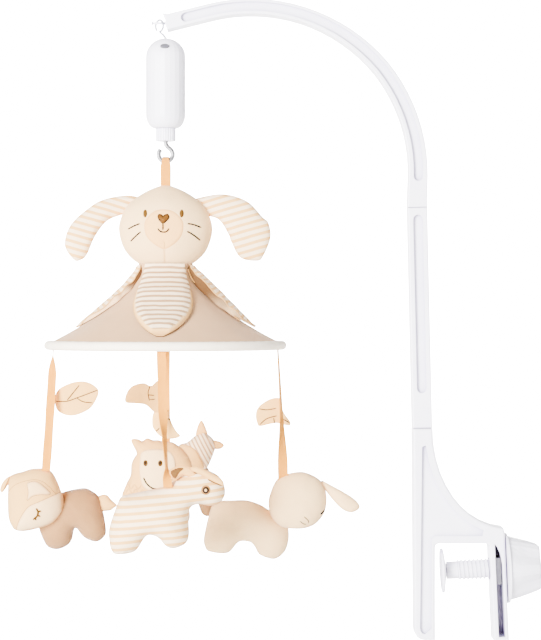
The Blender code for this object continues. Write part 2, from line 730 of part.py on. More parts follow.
def build_works(case, spindle):
    """What the case holds: motor and gears below, cells behind, board in front."""
    pitch_radius = GEAR_MODULE * GEAR_TEETH / 2
    pinion_radius = GEAR_MODULE * PINION_TEETH / 2
    centres = pitch_radius + pinion_radius + 0.1 * MM
    toothed_wheel(
        "drive_gear", GEAR_TEETH, pitch_radius + 0.3 * MM, pitch_radius - 0.5 * MM, SHAFT_RADIUS + GAP,
        6 * MM, 9 * MM, NYLON, spindle, turn=-math.pi / 2,
    )
    pinion = empty("pinion_axis", (AXIS_X, -centres, CASE_BASE_Z))
    toothed_wheel(
        "motor_pinion", PINION_TEETH, pinion_radius + 0.3 * MM, pinion_radius - 0.5 * MM, 0,
        5.6 * MM, 10.4 * MM, BRASS, pinion, turn=math.pi / 2 + math.pi / PINION_TEETH,
    )
    cylinder("motor", 6 * MM, 11 * MM, 29 * MM, STEEL, case, (0, -centres, 0))
    cylinder("speaker", 7.5 * MM, 11.4 * MM, 15.4 * MM, BLACK, case, (0, 8.8 * MM, 0))
    box("circuit_board", (24 * MM, 1.2 * MM, 40 * MM), BOARD, case, (0, -10 * MM, 53 * MM))
    for side, shift in (("left", -1), ("right", 1)):
        cylinder(f"battery_cell_{side}", 5.25 * MM, 22.8 * MM, 67.2 * MM, CELL, case,
                 (shift * 5.6 * MM, 8 * MM, 0))
    for level, height in (("lower", 22 * MM), ("upper", 68 * MM)):
        box(f"battery_contact_{level}", (20 * MM, 9 * MM, 0.8 * MM), STEEL, case, (0, 8 * MM, height))


def build_bush(case):
    profile = [
        (SHAFT_RADIUS + 0.1 * MM, 3.4 * MM), (8 * MM, 3.4 * MM), (8 * MM, 2.2 * MM),
        (BASE_HOLE - GAP, 2.2 * MM), (BASE_HOLE - GAP, 0), (SHAFT_RADIUS + 0.1 * MM, 0),
        (SHAFT_RADIUS + 0.1 * MM, 3.4 * MM),
    ]
    turned("output_bush", profile, BRASS, case, steps=24)


def build_spindle(spindle):
    """Shaft, ribbed collar and hook, which the motor turns together."""
    join_height = -6.6 * MM
    cylinder("output_shaft", SHAFT_RADIUS, join_height, 10.6 * MM, STEEL, spindle, sides=24)
    toothed_wheel(
        "spindle_collar", 24, COLLAR_RADIUS, COLLAR_RADIUS - 0.6 * MM, SHAFT_RADIUS + GAP,
        -COLLAR_LENGTH - GAP, -GAP, WHITE, spindle,
    )
    centre = Vector((0, 0, -HOOK_CENTRE_DROP))
    start = Vector((0, 0, -COLLAR_LENGTH - 1.6 * MM))
    entry = math.radians(25)
    joined = centre + HOOK_RADIUS * Vector((math.cos(entry), 0, math.sin(entry)))
    tangent = Vector((math.sin(entry), 0, -math.cos(entry)))
    bend = interpolate_bezier(start, start - Vector((0, 0, 4.6 * MM)), joined - 4 * MM * tangent, joined, 7)
    path = [Vector((0, 0, join_height - GAP))] + bend
    for step in range(1, 21):
        turn = entry - math.radians(250) * step / 20
        path.append(centre + HOOK_RADIUS * Vector((math.cos(turn), 0, math.sin(turn))))
    tube("spindle_hook", path, HOOK_WIRE, STEEL, spindle)


def build_eye(case):
    """The clear hanger: a stem from the case's top, bent over into an eye round the pin."""
    middle = Vector((EYE_OFFSET, 0, PIN_Z - CASE_BASE_Z - 2.5 * MM))
    across = Vector((math.sin(EYE_TURN), math.cos(EYE_TURN), 0)).cross(Vector((0, 0, 1)))
    path = [Vector((0, 0, CASE_HEIGHT - 7 * MM)), Vector((0, 0, CASE_HEIGHT + 0.5 * MM))]
    foot = middle - Vector((0, 0, EYE_HALF_HEIGHT))
    path.append(path[-1].lerp(foot, 0.55) + Vector((0.5, 0, 0)) * MM)
    start, sweep, steps = -90, 318, 22
    for step in range(steps + 1):
        turn = math.radians(start + sweep * step / steps)
        path.append(middle + EYE_HALF_WIDTH * math.cos(turn) * across
                    + Vector((0, 0, EYE_HALF_HEIGHT * math.sin(turn))))
    eye = meshed_curve(tube("hanger_eye", path, EYE_WIRE, CLEAR, case))
    stop = cylinder("eye_stop", 4.4 * MM, CASE_HEIGHT - 6.5 * MM, CASE_HEIGHT - 4.5 * MM, CLEAR, case,
                    sides=16)
    join(eye, stop)


def build_pin(arm):
    """The pin in the arm's tip, with a small head that keeps the eye on."""
    place = (AXIS_X, 0, PIN_Z)
    head = 14.2 * MM
    profile = [
        (0, head), (2.4 * MM, head), (2.4 * MM, head - 1 * MM), (PIN_RADIUS, head - 1 * MM),
        (PIN_RADIUS, -13 * MM), (0, -13 * MM),
    ]
    turned("hanger_pin", profile, WHITE, arm, place, (0, -math.pi / 2, 0), steps=16)


# ---- the canopy --------------------------------------------------------------------------------

def cone_radius(height):
    """Radius of the concave canopy, by height above the hoop's centreline."""
    share = min(max((height - 5 * MM) / (NECK_Z - HOOP_Z - 5 * MM), 0.0), 1.0)
    return (116 * (1 - share) ** 1.75 + 27 * share + 14 * share * (1 - share)) * MM


def build_top_ribbon(canopy, pivot_z):
    """The loop over the hook: two broad strands joined by a narrow saddle on the wire."""
    inner, outer = 3.5 * MM, 3.5 * MM + RIBBON_THICKNESS
    top, bottom = 4.8 * MM, HEAD_Z + HEAD_TOP + GAP - pivot_z
    ring = [(-outer, bottom), (outer, bottom), (outer, top), (-outer, top)]
    hole_top, hole_bottom = top - RIBBON_THICKNESS, bottom + RIBBON_THICKNESS
    curve = outline_curve("top_ribbon", [ring, [(-inner, hole_bottom), (inner, hole_bottom),
                                                (inner, hole_top),
                          (-inner, hole_top)]], RIBBON_WIDTH / 2, 0, smooth=False)
    loop = meshed_curve(add_object("top_ribbon", curve, PEACH, canopy, (0, 0, 0),
                                   (math.pi / 2, 0, math.pi / 2)))
    for side in (-1, 1):
        size = (4 * MM, 2 * inner, 4 * MM)
        notch = box(f"saddle_notch_{side + 1}", size, PEACH, canopy, (side * 5.5 * MM, 0, top))
        cut(loop, as_cutter(notch))


def build_head(canopy, centre):
    """The stuffed head, a turned egg pressed flat from front to back."""
    widths = [(4.5, 39), (6, 38.4), (25, 28), (37, 19), (44.4, 9), (46.8, -1), (45, -13), (39, -25)]
    widths += [(29, -34.5), (18, -38.6)]
    rings = [ring_points(radius * MM, height * MM, 28, flat=HEAD_FLATNESS) for radius, height in widths]
    loft("rabbit_head", rings, CREAM, canopy, centre)


EAR_OUTLINE = (
    (-34, 29.4), (-45, 31.5), (-60, 28), (-78, 18.5), (-93, 3), (-101, -17), (-98.5, -29),
    (-91, -34.5), (-82, -31), (-74, -18), (-64, -3), (-51, 8), (-48.2, 11),
)


def build_ears(canopy, centre):
    """Drooping ears: one outline, mirrored for the other side."""
    for side, mirror in (("left", 1), ("right", -1)):
        outline = [(mirror * x, z) for x, z in EAR_OUTLINE]
        pillow(f"rabbit_ear_{side}", outline, 9 * MM, STRIPED, canopy, centre, round_edge=3 * MM)


def build_petal(name, azimuth, canopy, base):
    """An egg-shaped padded petal that lies on the cone, sewn at the neck."""
    rows, columns = 9, 6
    top, bottom = NECK_Z - HOOP_Z - 2 * MM, 17 * MM
    bm = bmesh.new()
    grid = []
    for row in range(rows + 1):
        share = row / rows
        height = top + (bottom - top) * share
        half = (21 + 10.5 * math.sin(math.pi * min(share * 0.78, 1) ** 1.1)) * MM
        half *= math.sqrt(max(1 - max((share - 0.55) / 0.46, 0) ** 2, 0.06))
        radius = cone_radius(height) + 3.2 * MM
        line = []
        for column in range(columns + 1):
            aside = half * (2 * column / columns - 1)
            inward = 0.55 * aside * aside / (2 * max(radius, 30 * MM))
            line.append(bm.verts.new((radius - inward, aside, height)))
        grid.append(line)
    for upper, lower in zip(grid, grid[1:]):
        for i in range(columns):
            bm.faces.new((upper[i], lower[i], lower[i + 1], upper[i + 1]))
    petal = add_object(name, mesh_from_bmesh(name, bm), STRIPED, canopy, base, (0, 0, azimuth))
    pad = petal.modifiers.new("padding", "SOLIDIFY")
    pad.thickness = PETAL_THICKNESS
    pad.offset = 1 if petal.data.polygons[0].normal.x > 0 else -1


def build_cone(canopy, base):
    """The canopy skin: a thin concave cone, open at the neck and at the hoop."""
    count = 7
    low, high = SLEEVE_RADIUS + 2 * GAP, NECK_Z - HOOP_Z
    heights = [high - (high - low) * i / count for i in range(count + 1)]
    outer = [(cone_radius(height), height) for height in heights]
    inner = [(radius - 1.6 * CONE_WALL, height - 0.4 * CONE_WALL * (i < count)) for i,
             (radius, height) in enumerate(outer)]
    turned("canopy_cone", outer + inner[::-1] + outer[:1], BEIGE, canopy, base, steps=24)


def build_hoop(canopy, base):
    """The plastic ring, and the fabric sleeve round it, whose ends meet at the back."""
    circle = [HOOP_RADIUS * Vector((math.cos(FULL_TURN * i / 36), math.sin(FULL_TURN * i / 36),
                                    0)) for i in range(36)]
    tube("hoop_ring", circle, HOOP_WIRE, WHITE, canopy, base, cyclic=True)
    slit = math.radians(0.6)
    sides, steps = 8, 36
    surfaces = []
    for radius in (SLEEVE_RADIUS, HOOP_WIRE + 2 * GAP):
        rings = []
        for i in range(steps + 1):
            turn = math.pi / 2 + slit / 2 + (FULL_TURN - slit) * i / steps
            rings.append([(
                (HOOP_RADIUS + radius * math.cos(FULL_TURN * j / sides)) * math.cos(turn),
                (HOOP_RADIUS + radius * math.cos(FULL_TURN * j / sides)) * math.sin(turn),
                radius * math.sin(FULL_TURN * j / sides),
            ) for j in range(sides)])
        surfaces.append(rings)
    loft("hoop_sleeve", surfaces[0] + surfaces[1][::-1], CREAM, canopy, base, looped=True)


# ---- ribbons, leaves and toys ------------------------------------------------------------------

def ribbon(name, hinge, length, drift, twist, finish_turn=0.0):
    """A hanging flat ribbon that turns from one facing at the hoop to another at the toy."""
    rows = 10
    rings = []
    for row in range(rows + 1):
        share = row / rows
        turn = finish_turn + twist * (1 - share) ** 1.5
        across = Vector((math.cos(turn), math.sin(turn), 0)) * RIBBON_WIDTH * (0.72 + 0.16 * share) / 2
        thick = Vector((-math.sin(turn), math.cos(turn), 0)) * RIBBON_THICKNESS / 2
        middle = Vector((drift * share, 0, -length * share))
        rings.append([middle + across + thick, middle - across + thick, middle - across - thick,
                      middle + across - thick])
    loft(name, rings, PEACH, hinge)


def leaf(name, outline, hinge, depth_place):
    pillow(name, outline, 2 * MM, BEIGE, hinge, (0, depth_place, 0), round_edge=0.4 * MM)


def toy(name, head, body, finishes, hinge, ribbon_end, layers):
    """A flat stuffed animal: a head layer and a body layer, side by side in depth."""
    for piece, outline, finish, layer in zip(("head", "body"), (head, body), finishes, layers):
        place = (ribbon_end[0], layer, ribbon_end[1])
        pillow(f"{name}_{piece}", outline, TOY_THICKNESS, finish, hinge, place)


TOYS = {
    "fawn": {
        "angle": 180, "length": 119, "drift": -4, "twist": -90, "layers": (-11.4, 11.4),
        "finish": (CREAM, PEACH),
        "head": ((-3, 0), (-22, -3), (-35, -14), (-40, -31), (-37, -51), (-26, -61), (-8, -59), (7, -51),
                 (15, -33), (10, -11)),
        "body": ((4, -30), (22, -21), (40, -21), (50, -27), (58, -26), (66, -33), (62, -44), (56, -48),
                 (57, -60),
                 (46, -74), (33, -69), (25, -61), (21, -76), (7, -82), (-6, -76), (-10, -60)),
        "leaf": ((4.5, -43), (20, -35), (38, -34), (46, -41), (42, -53), (31, -62), (17, -66),
                 (4.5, -63)), "leaf_y": 0,
    },
    "bunny": {
        "angle": 0, "length": 127, "drift": 5, "twist": 90, "layers": (-11.4, 11.4),
        "finish": (CREAM, CREAM),
        "head": ((-4, -1), (15, 5), (34, 2), (43, -5), (59, -13), (76, -29), (60, -31), (44, -21),
                 (41, -36), (29, -47),
                 (7, -51), (-11, -41), (-13, -18)),
        "body": ((-61, -25), (-38, -24), (-18, -30), (-3, -44), (5, -62), (1, -78), (-13, -84),
                 (-26, -78), (-33, -66),
                 (-46, -66), (-55, -78), (-71, -77), (-78, -67), (-76, -50), (-71, -31)),
        "leaf": ((-5, -46), (-19, -58), (-22, -66), (-20, -76), (-1, -74), (12, -71), (4, -58)),
        "leaf_y": 6,
    },
    "pony": {
        "angle": -90, "length": 118, "drift": 2, "twist": 0, "layers": (-11.4, 11.4),
        "finish": (STRIPED, STRIPED),
        "head": ((6, 1), (18, 12), (35, 15), (49, 8.5), (55.5, -4), (53, -16), (40, -24.5), (24, -21),
                 (11, -15)),
        "body": ((-42, -14), (-51, -36), (-53, -57), (-42, -69), (-28, -65), (-19, -51), (-11, -51),
                 (-3, -59), (8, -63),
                 (21, -57), (24, -40), (20, -18), (2, -5), (-20, -9)),
        "leaf": ((-13, -60), (-14, -72), (-10, -83), (3, -86), (13, -83), (9, -76), (4, -66), (1, -56)),
        "leaf_y": -4,
    },
    "horse": {
        "angle": 90, "length": 94, "drift": 6, "twist": 0, "layers": (-11.4, 11.4),
        "finish": (STRIPED, BEIGE),
        "head": ((2, -10), (10, -3), (20, 3), (27, 6), (27, 13), (29, 21), (33, 14), (35, 6), (40, 1),
                 (50, -1), (55, -6),
                 (50, -10), (42, -12), (38, -22), (29, -32), (14, -28), (3, -20)),
        "body": ((-14, -22), (10, -16), (30, -26), (42, -45), (38, -64), (24, -62), (14, -50), (0, -62),
                 (-16, -58), (-20, -38)),
        "leaf": ((-46, -48), (-44, -37), (-37, -32), (-27, -30), (-18, -32), (-8, -26), (-12, -64),
                 (-21, -56), (-30, -52)),
        "leaf_y": 6,
    },
}

LION = {
    "head": ((-34, -1), (-25, -3), (-14, 1), (0, 0), (12, -7), (22, -17), (26, -28), (19, -40), (4, -50),
             (-14, -54),
             (-29, -59), (-42, -58), (-38, -40), (-34, -23)),
    "body": ((-30, -50), (-6, -42), (14, -50), (22, -64), (24, -78), (14, -88), (0, -84), (-18, -92),
             (-34, -78)),
}


def hoop_hinge(name, degrees):
    """A hinge on the underside of the hoop, at an angle round it."""
    turn = math.radians(degrees) + HOOP_TURN
    reach = ATTACH_RADIUS * Vector((math.cos(turn), math.sin(turn), 0))
    place = Vector((AXIS_X, 0, HOOP_Z - SLEEVE_RADIUS - RIBBON_DROP)) + reach
    return empty(f"{name}_hinge", place)


def build_toys():
    for name, data in TOYS.items():
        hinge = hoop_hinge(name, data["angle"])
        length, drift = data["length"] * MM, data["drift"] * MM
        ribbon(f"{name}_ribbon", hinge, length, drift, math.radians(data["twist"]))
        end = (drift, -length - GAP)
        layers = [layer * MM for layer in data["layers"]]
        toy(f"{name}_toy", data["head"], data["body"], data["finish"], hinge, end, layers)
        leaf(f"{name}_leaf", data["leaf"], hinge, data["leaf_y"] * MM)


def build_centre_toy():
    """The lion, hung from inside the canopy's neck."""
    hinge = empty("lion_hinge", (AXIS_X, 0, HEAD_Z - HEAD_TOP - 4 * MM))
    length = 173 * MM
    ribbon("lion_ribbon", hinge, length, 0.0, 0.0)
    end = (0.0, -length - GAP)
    toy("lion_toy", LION["head"], LION["body"], (PEACH, BEIGE), hinge, end, (-11.4 * MM, 11.4 * MM))


# ---- assembly ----------------------------------------------------------------------------------

def build_arm_and_clamp():
    arm = empty("arm_frame", (0, 0, 0))
    screw_axis = empty("screw_axis", (0, 0, -SCREW_DROP), (0, math.pi / 2 - SCREW_RISE, 0))
    top_pocket = build_arch(arm)
    foot_pocket = build_post(arm, top_pocket)
    screw_hole = build_bracket(arm, foot_pocket, screw_axis)
    build_nut(arm, screw_hole)
    build_pin(arm)
    ball_centre = build_stud(screw_axis)
    build_pad(screw_axis, ball_centre)
    build_screw(screw_axis)
    build_knob(screw_axis)


def build_music_box():
    case = empty("case_frame", (AXIS_X, 0, CASE_BASE_Z))
    spindle = empty("spindle_axis", (AXIS_X, 0, CASE_BASE_Z))
    build_case(case, spindle)
    build_bush(case)
    build_eye(case)
    build_spindle(spindle)


def build_canopy():
    pivot_z = CASE_BASE_Z - HOOK_CENTRE_DROP - HOOK_RADIUS
    canopy = empty("canopy_pivot", (AXIS_X, 0, pivot_z))
    head_centre = (0, 0, HEAD_Z - pivot_z)
    base = (0, 0, HOOP_Z - pivot_z)
    build_top_ribbon(canopy, pivot_z)
    build_head(canopy, head_centre)
    build_ears(canopy, head_centre)
    for name, degrees in (("belly_petal", -90), ("left_petal", 180), ("right_petal", 0),
                          ("back_petal", 90)):
        build_petal(name, math.radians(degrees), canopy, base)
    build_cone(canopy, base)
    build_hoop(canopy, base)


build_arm_and_clamp()
build_music_box()
build_canopy()
build_toys()
build_centre_toy()
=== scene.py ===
"""Looks of the crib mobile: stuffed fabric, ribbons, stitching, moulded plastic, light and camera."""

import json
import math

import bmesh
import bpy
import numpy as np
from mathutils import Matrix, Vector, noise
from mathutils.bvhtree import BVHTree
from mathutils.geometry import delaunay_2d_cdt


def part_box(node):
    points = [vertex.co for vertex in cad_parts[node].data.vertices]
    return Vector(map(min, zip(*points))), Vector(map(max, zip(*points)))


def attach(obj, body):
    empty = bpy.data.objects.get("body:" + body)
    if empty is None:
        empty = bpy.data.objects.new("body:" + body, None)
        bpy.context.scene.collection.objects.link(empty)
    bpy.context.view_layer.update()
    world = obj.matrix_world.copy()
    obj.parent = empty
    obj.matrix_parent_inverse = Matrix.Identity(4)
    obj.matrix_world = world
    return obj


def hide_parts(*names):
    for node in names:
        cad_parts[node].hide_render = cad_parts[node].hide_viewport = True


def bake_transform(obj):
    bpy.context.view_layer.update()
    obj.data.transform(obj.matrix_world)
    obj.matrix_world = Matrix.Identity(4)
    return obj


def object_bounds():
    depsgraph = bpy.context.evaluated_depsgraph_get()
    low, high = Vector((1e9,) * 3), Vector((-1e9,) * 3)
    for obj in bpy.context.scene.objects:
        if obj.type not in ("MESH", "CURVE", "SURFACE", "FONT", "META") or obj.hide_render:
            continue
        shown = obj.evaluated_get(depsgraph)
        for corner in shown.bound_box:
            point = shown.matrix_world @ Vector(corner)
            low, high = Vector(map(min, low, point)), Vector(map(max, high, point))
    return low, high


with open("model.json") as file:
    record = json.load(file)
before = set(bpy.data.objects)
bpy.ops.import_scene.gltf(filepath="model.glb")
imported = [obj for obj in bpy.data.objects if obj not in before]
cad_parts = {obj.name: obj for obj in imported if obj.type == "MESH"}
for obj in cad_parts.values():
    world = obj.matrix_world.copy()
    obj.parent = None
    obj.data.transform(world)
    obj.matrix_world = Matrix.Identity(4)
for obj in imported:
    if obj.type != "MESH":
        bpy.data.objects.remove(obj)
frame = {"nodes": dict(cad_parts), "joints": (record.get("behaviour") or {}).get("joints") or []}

MM = 0.001
FULL_TURN = 2 * math.pi
CLOTH_FRAMES = 20
ROW_SHARE = 0.866  # height of a triangle with three sides of 1
TAPE_THICKNESS = 0.7 * MM
CAD_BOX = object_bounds()

# ---- places taken from the frame ----------------------------------------------------------

PIVOTS = {joint["name"]: Vector(joint["pos_m"]) for joint in frame["joints"]}
AXIS_X = PIVOTS["hanger_spin"].x
HEAD_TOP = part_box("rabbit_head")[1][2]
HEAD_RISE = 39
HEAD_CENTRE = Vector((AXIS_X, 0, HEAD_TOP - HEAD_RISE * MM))
NECK_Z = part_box("canopy_cone")[1][2]
SLEEVE_LOW, SLEEVE_HIGH = (Vector(corner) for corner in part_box("hoop_sleeve"))
HOOP_Z = (SLEEVE_LOW.z + SLEEVE_HIGH.z) / 2
SLEEVE_RADIUS = (SLEEVE_HIGH.z - SLEEVE_LOW.z) / 2
HOOP_RADIUS = (SLEEVE_HIGH.x - SLEEVE_LOW.x) / 2 - SLEEVE_RADIUS


# ---- materials ----------------------------------------------------------------------------

def colour(*display):
    """A display colour from 0 to 255 as the linear colour that shaders take."""
    linear = []
    for share in (value / 255 for value in display):
        linear.append(share / 12.92 if share <= 0.04045 else ((share + 0.055) / 1.055) ** 2.4)
    return (*linear, 1.0)


class Nodes:
    """Short calls for building one material's node tree."""

    def __init__(self, name):
        self.material = bpy.data.materials.new(name)
        self.material.use_nodes = True
        self.tree = self.material.node_tree
        self.shader = self.tree.nodes["Principled BSDF"]

    def add(self, kind, inputs=None, **settings):
        node = self.tree.nodes.new(kind)
        for key, value in settings.items():
            setattr(node, key, value)
        for key, value in (inputs or {}).items():
            self.give(node.inputs[key], value)
        return node

    def give(self, socket, value):
        if isinstance(value, bpy.types.NodeSocket):
            self.tree.links.new(value, socket)
        else:
            socket.default_value = value

    def math(self, operation, first, second=0.0, third=0.0):
        return self.add("ShaderNodeMath", {0: first, 1: second, 2: third}, operation=operation).outputs[0]

    def position(self):
        return self.add("ShaderNodeTexCoord").outputs["Object"]

    def attribute(self, name):
        return self.add("ShaderNodeAttribute", attribute_name=name).outputs["Fac"]

    def noise(self, scale, detail=3.0, vector=None, distortion=0.0):
        inputs = {"Vector": vector or self.position(), "Scale": scale, "Detail": detail,
                  "Distortion": distortion}
        return self.add("ShaderNodeTexNoise", inputs).outputs["Fac"]

    def ramp(self, value, *stops):
        node = self.add("ShaderNodeValToRGB", {"Fac": value})
        elements = node.color_ramp.elements
        while len(elements) < len(stops):
            elements.new(0.5)
        for element, (place, shade) in zip(elements, stops):
            element.position = place
            element.color = shade
        return node.outputs["Color"]

    def mix(self, share, first, second, blend="MIX"):
        node = self.add("ShaderNodeMix", data_type="RGBA", blend_type=blend)
        for key, value in (("Factor", share), ("A", first), ("B", second)):
            self.give(node.inputs[key], value)
        return node.outputs["Result"]

    def darken(self, share, base, value, dark, start, end):
        """The base multiplied by a tone that goes from dark to white as a value rises."""
        return self.mix(share, base, self.ramp(value, (start, (*dark, 1)), (end, WHITE)), "MULTIPLY")

    def spread(self, value, low, high):
        node = self.add("ShaderNodeMapRange", {"Value": value, "To Min": low, "To Max": high})
        return node.outputs["Result"]

    def finish(self, base, constants, relief=None, strength=0.0, distance=0.0):
        """Gives the shader its colour, its relief and its constants."""
        self.give(self.shader.inputs["Base Color"], base)
        if relief:
            bump = self.add("ShaderNodeBump", {"Height": relief, "Strength": strength, "Distance": distance})
            self.give(self.shader.inputs["Normal"], bump.outputs["Normal"])
        for key, value in constants.items():
            self.give(self.shader.inputs[key], value)
        return self.material


def finish_fabric(nodes, base, fuzz, weave_scale):
    """Pile or weave relief, soft folds of colour, and painted shade along the seams, shared by all the
    fabrics.
    """
    toned = nodes.darken(1.0, base, nodes.noise(35.0, 2.0), (0.94, 0.93, 0.92), 0.3, 0.7)
    # Painted shade: the colour darkens close to seams and outlines, as read from the edge attribute.
    shaded = nodes.darken(0.8, toned, nodes.attribute("edge"), (0.80, 0.68, 0.60), 0.0, 0.22)
    pile = nodes.noise(1400.0, 4.0)
    flecked = nodes.darken(0.6, shaded, pile, (0.90, 0.88, 0.86), 0.3, 0.6)
    knit = nodes.add("ShaderNodeTexVoronoi", {"Vector": nodes.position(), "Scale": weave_scale})
    relief = nodes.math("ADD", nodes.math("MULTIPLY", pile, fuzz), knit.outputs["Distance"])
    constants = {
        "Roughness": 0.93, "Sheen Weight": 0.12, "Sheen Roughness": 0.45, "Specular IOR Level": 0.15,
        "Subsurface Weight": 0.08, "Subsurface Radius": (0.004, 0.0025, 0.0015),
    }
    return nodes.finish(flecked, constants, relief, 0.35, 0.0004)


def plain_fabric(name, shade, fuzz=0.8, weave_scale=900.0):
    nodes = Nodes(name)
    # Painted shade: where the lining attribute is set, the colour goes over to the dark lining shade.
    return finish_fabric(nodes, nodes.mix(nodes.attribute("lining"), shade, LINING_SHADE), fuzz, weave_scale)


def striped_fabric(name, dark, period_mm):
    """Narrow knitted stripes that follow the piece's own stripe coordinate, in millimetres."""
    nodes = Nodes(name)
    light = STRIPE_LIGHT
    wobble = nodes.math("MULTIPLY", nodes.noise(60.0, 1.0), 0.8)
    place = nodes.math("DIVIDE", nodes.math("ADD", nodes.attribute("stripe"), wobble), period_mm)
    cycle = nodes.math("FRACT", place)
    bands = nodes.ramp(cycle, (0.0, light), (0.44, light), (0.54, dark), (0.90, dark), (0.99, light))
    bordered = nodes.mix(nodes.attribute("border"), bands, BORDER)
    # Painted shade: where the lining attribute is set, the colour goes over to the dark lining shade.
    return finish_fabric(nodes, nodes.mix(nodes.attribute("lining"), bordered, LINING_SHADE), 0.5, 1000.0)


def woven_tape(name, shade, dark):
    """Peach cotton tape with fine ribs across it."""
    nodes = Nodes(name)
    rib = nodes.math("SINE", nodes.math("MULTIPLY", nodes.attribute("stripe"), FULL_TURN / 0.55))
    lift = nodes.math("MULTIPLY_ADD", rib, 0.5, 0.5)
    ribbed = nodes.mix(nodes.math("MULTIPLY", lift, 0.35), shade, dark)
    patched = nodes.darken(1.0, ribbed, nodes.noise(90.0, 3.0), (0.92, 0.90, 0.87), 0.3, 0.7)
    grain = nodes.math("ADD", nodes.math("MULTIPLY", lift, 0.8), nodes.noise(2200.0, 2.0))
    constants = {"Roughness": 0.8, "Sheen Weight": 0.04, "Specular IOR Level": 0.12}
    return nodes.finish(patched, constants, grain, 0.4, 0.0002)


def thread_material(name, shade, dark):
    """Embroidery thread: short matt strands with painted shade in the gaps between them."""
    nodes = Nodes(name)
    wave = {"Vector": nodes.position(), "Scale": 420.0, "Distortion": 2.0, "Detail": 2.0}
    settings = {"wave_type": "BANDS", "bands_direction": "DIAGONAL"}
    strands = nodes.add("ShaderNodeTexWave", wave, **settings).outputs["Fac"]
    constants = {"Roughness": 0.7, "Specular IOR Level": 0.12}
    # Painted shade: the dark colour fills the gaps between the strands.
    return nodes.finish(nodes.mix(strands, dark, shade), constants, strands, 0.5, 0.0002)


def moulded_plastic(name, shade, shadow, roughness):
    """Injection-moulded plastic: a fine grain, faint flow marks, scuffs, and shade in its recesses."""
    nodes = Nodes(name)
    flow = nodes.ramp(nodes.noise(14.0, 3.0, distortion=1.5), (0.35, shadow), (0.65, shade))
    scuffs = nodes.noise(240.0, 5.0, distortion=3.0)
    shelter = nodes.add("ShaderNodeAmbientOcclusion", {"Distance": 0.012}, samples=8).outputs["AO"]
    constants = {
        "Roughness": nodes.spread(scuffs, roughness - 0.06, roughness + 0.1), "IOR": 1.49,
        "Specular IOR Level": 0.5, "Subsurface Weight": 0.05, "Subsurface Radius": (0.003, 0.003, 0.004),
    }
    base = nodes.darken(1.0, flow, shelter, (0.46, 0.43, 0.56), 0.1, 0.85)
    return nodes.finish(base, constants, nodes.noise(2600.0, 2.0), 0.12, 0.0001)


def clear_plastic(name, shade, dark):
    nodes = Nodes(name)
    smears = nodes.noise(180.0, 3.0)
    constants = {"Roughness": nodes.spread(smears, 0.05, 0.16), "Transmission Weight": 0.35, "IOR": 1.49}
    return nodes.finish(nodes.ramp(smears, (0.3, dark), (0.7, shade)), constants)


def satin_metal(name, shade, dark, roughness):
    nodes = Nodes(name)
    drawn_out = nodes.add("ShaderNodeMapping", {"Vector": nodes.position(), "Scale": (1.0, 1.0, 14.0)})
    brushing = nodes.noise(160.0, 4.0, vector=drawn_out.outputs[0])
    constants = {"Roughness": nodes.spread(brushing, roughness - 0.06, roughness + 0.08), "Metallic": 1.0}
    base = nodes.ramp(brushing, (0.3, dark), (0.7, shade))
    return nodes.finish(base, constants, brushing, 0.08, 0.0001)


WHITE = (1.0, 1.0, 1.0, 1.0)
STRIPE_LIGHT = colour(252, 224, 184)
# The lining's own colour deepened into painted shade: it stands for the shade in the pockets under the side
# petals, on the petals' undersides and on the canopy behind the slits.
LINING_SHADE = colour(88, 58, 28)
BORDER = colour(240, 190, 118)
MATERIALS = {
    "cream": plain_fabric("cream_velour", colour(241, 200, 142)),
    "pale": plain_fabric("pale_velour", colour(244, 204, 146)),
    "peach": plain_fabric("peach_velour", colour(152, 110, 68)),
    "oat": plain_fabric("oat_velour", colour(226, 174, 100)),
    "muzzle": plain_fabric("muzzle_velour", colour(240, 183, 110)),
    "mane": plain_fabric("mane_velour", colour(226, 170, 96)),
    "leaf": plain_fabric("leaf_felt", colour(234, 180, 102), fuzz=0.5, weave_scale=1200.0),
    "beige": plain_fabric("beige_cotton", colour(196, 154, 110), fuzz=0.4, weave_scale=1300.0),
    "sleeve": plain_fabric("sleeve_cotton", colour(255, 242, 220), fuzz=0.3, weave_scale=1300.0),
    "hollow": plain_fabric("ear_lining", colour(96, 64, 26)),
    "stripe": striped_fabric("striped_jersey", colour(230, 176, 102), 6.6),
    "fine_stripe": striped_fabric("fine_striped_jersey", colour(196, 154, 112), 3.8),
    "belly_stripe": striped_fabric("belly_striped_jersey", colour(170, 132, 92), 7.8),
    "tape": woven_tape("peach_tape", colour(212, 138, 30), colour(194, 116, 18)),
    "binding": woven_tape("peach_binding", colour(190, 140, 78), colour(160, 108, 52)),
    "brown": thread_material("brown_thread", colour(38, 21, 8), colour(20, 11, 4)),
    "gold": thread_material("golden_thread", colour(98, 64, 6), colour(60, 38, 3)),
    "rust": thread_material("rust_thread", colour(104, 62, 4), colour(62, 36, 2)),
    "tan": thread_material("tan_thread", colour(168, 118, 58), colour(132, 86, 36)),
    "seam": thread_material("seam_thread", colour(212, 166, 102), colour(190, 142, 80)),
    "white": moulded_plastic("white_moulding", colour(249, 246, 255), colour(244, 241, 252), 0.34),
    "grey": moulded_plastic("grey_moulding", colour(88, 86, 94), colour(72, 70, 78), 0.5),
    "black": moulded_plastic("black_moulding", colour(34, 34, 36), colour(24, 24, 26), 0.55),
    "board": moulded_plastic("board_mask", colour(34, 110, 62), colour(22, 84, 46), 0.4),
    "cell": moulded_plastic("cell_sleeve", colour(52, 74, 120), colour(40, 58, 98), 0.35),
    "nylon": moulded_plastic("natural_nylon", colour(236, 232, 216), colour(226, 220, 200), 0.5),
    "clear": clear_plastic("clear_moulding", colour(176, 176, 188), colour(130, 130, 142)),
    "steel": satin_metal("satin_steel_wire", colour(150, 149, 150), colour(112, 111, 113), 0.34),
    "brass": satin_metal("turned_brass", colour(190, 156, 88), colour(150, 116, 58), 0.32),
}
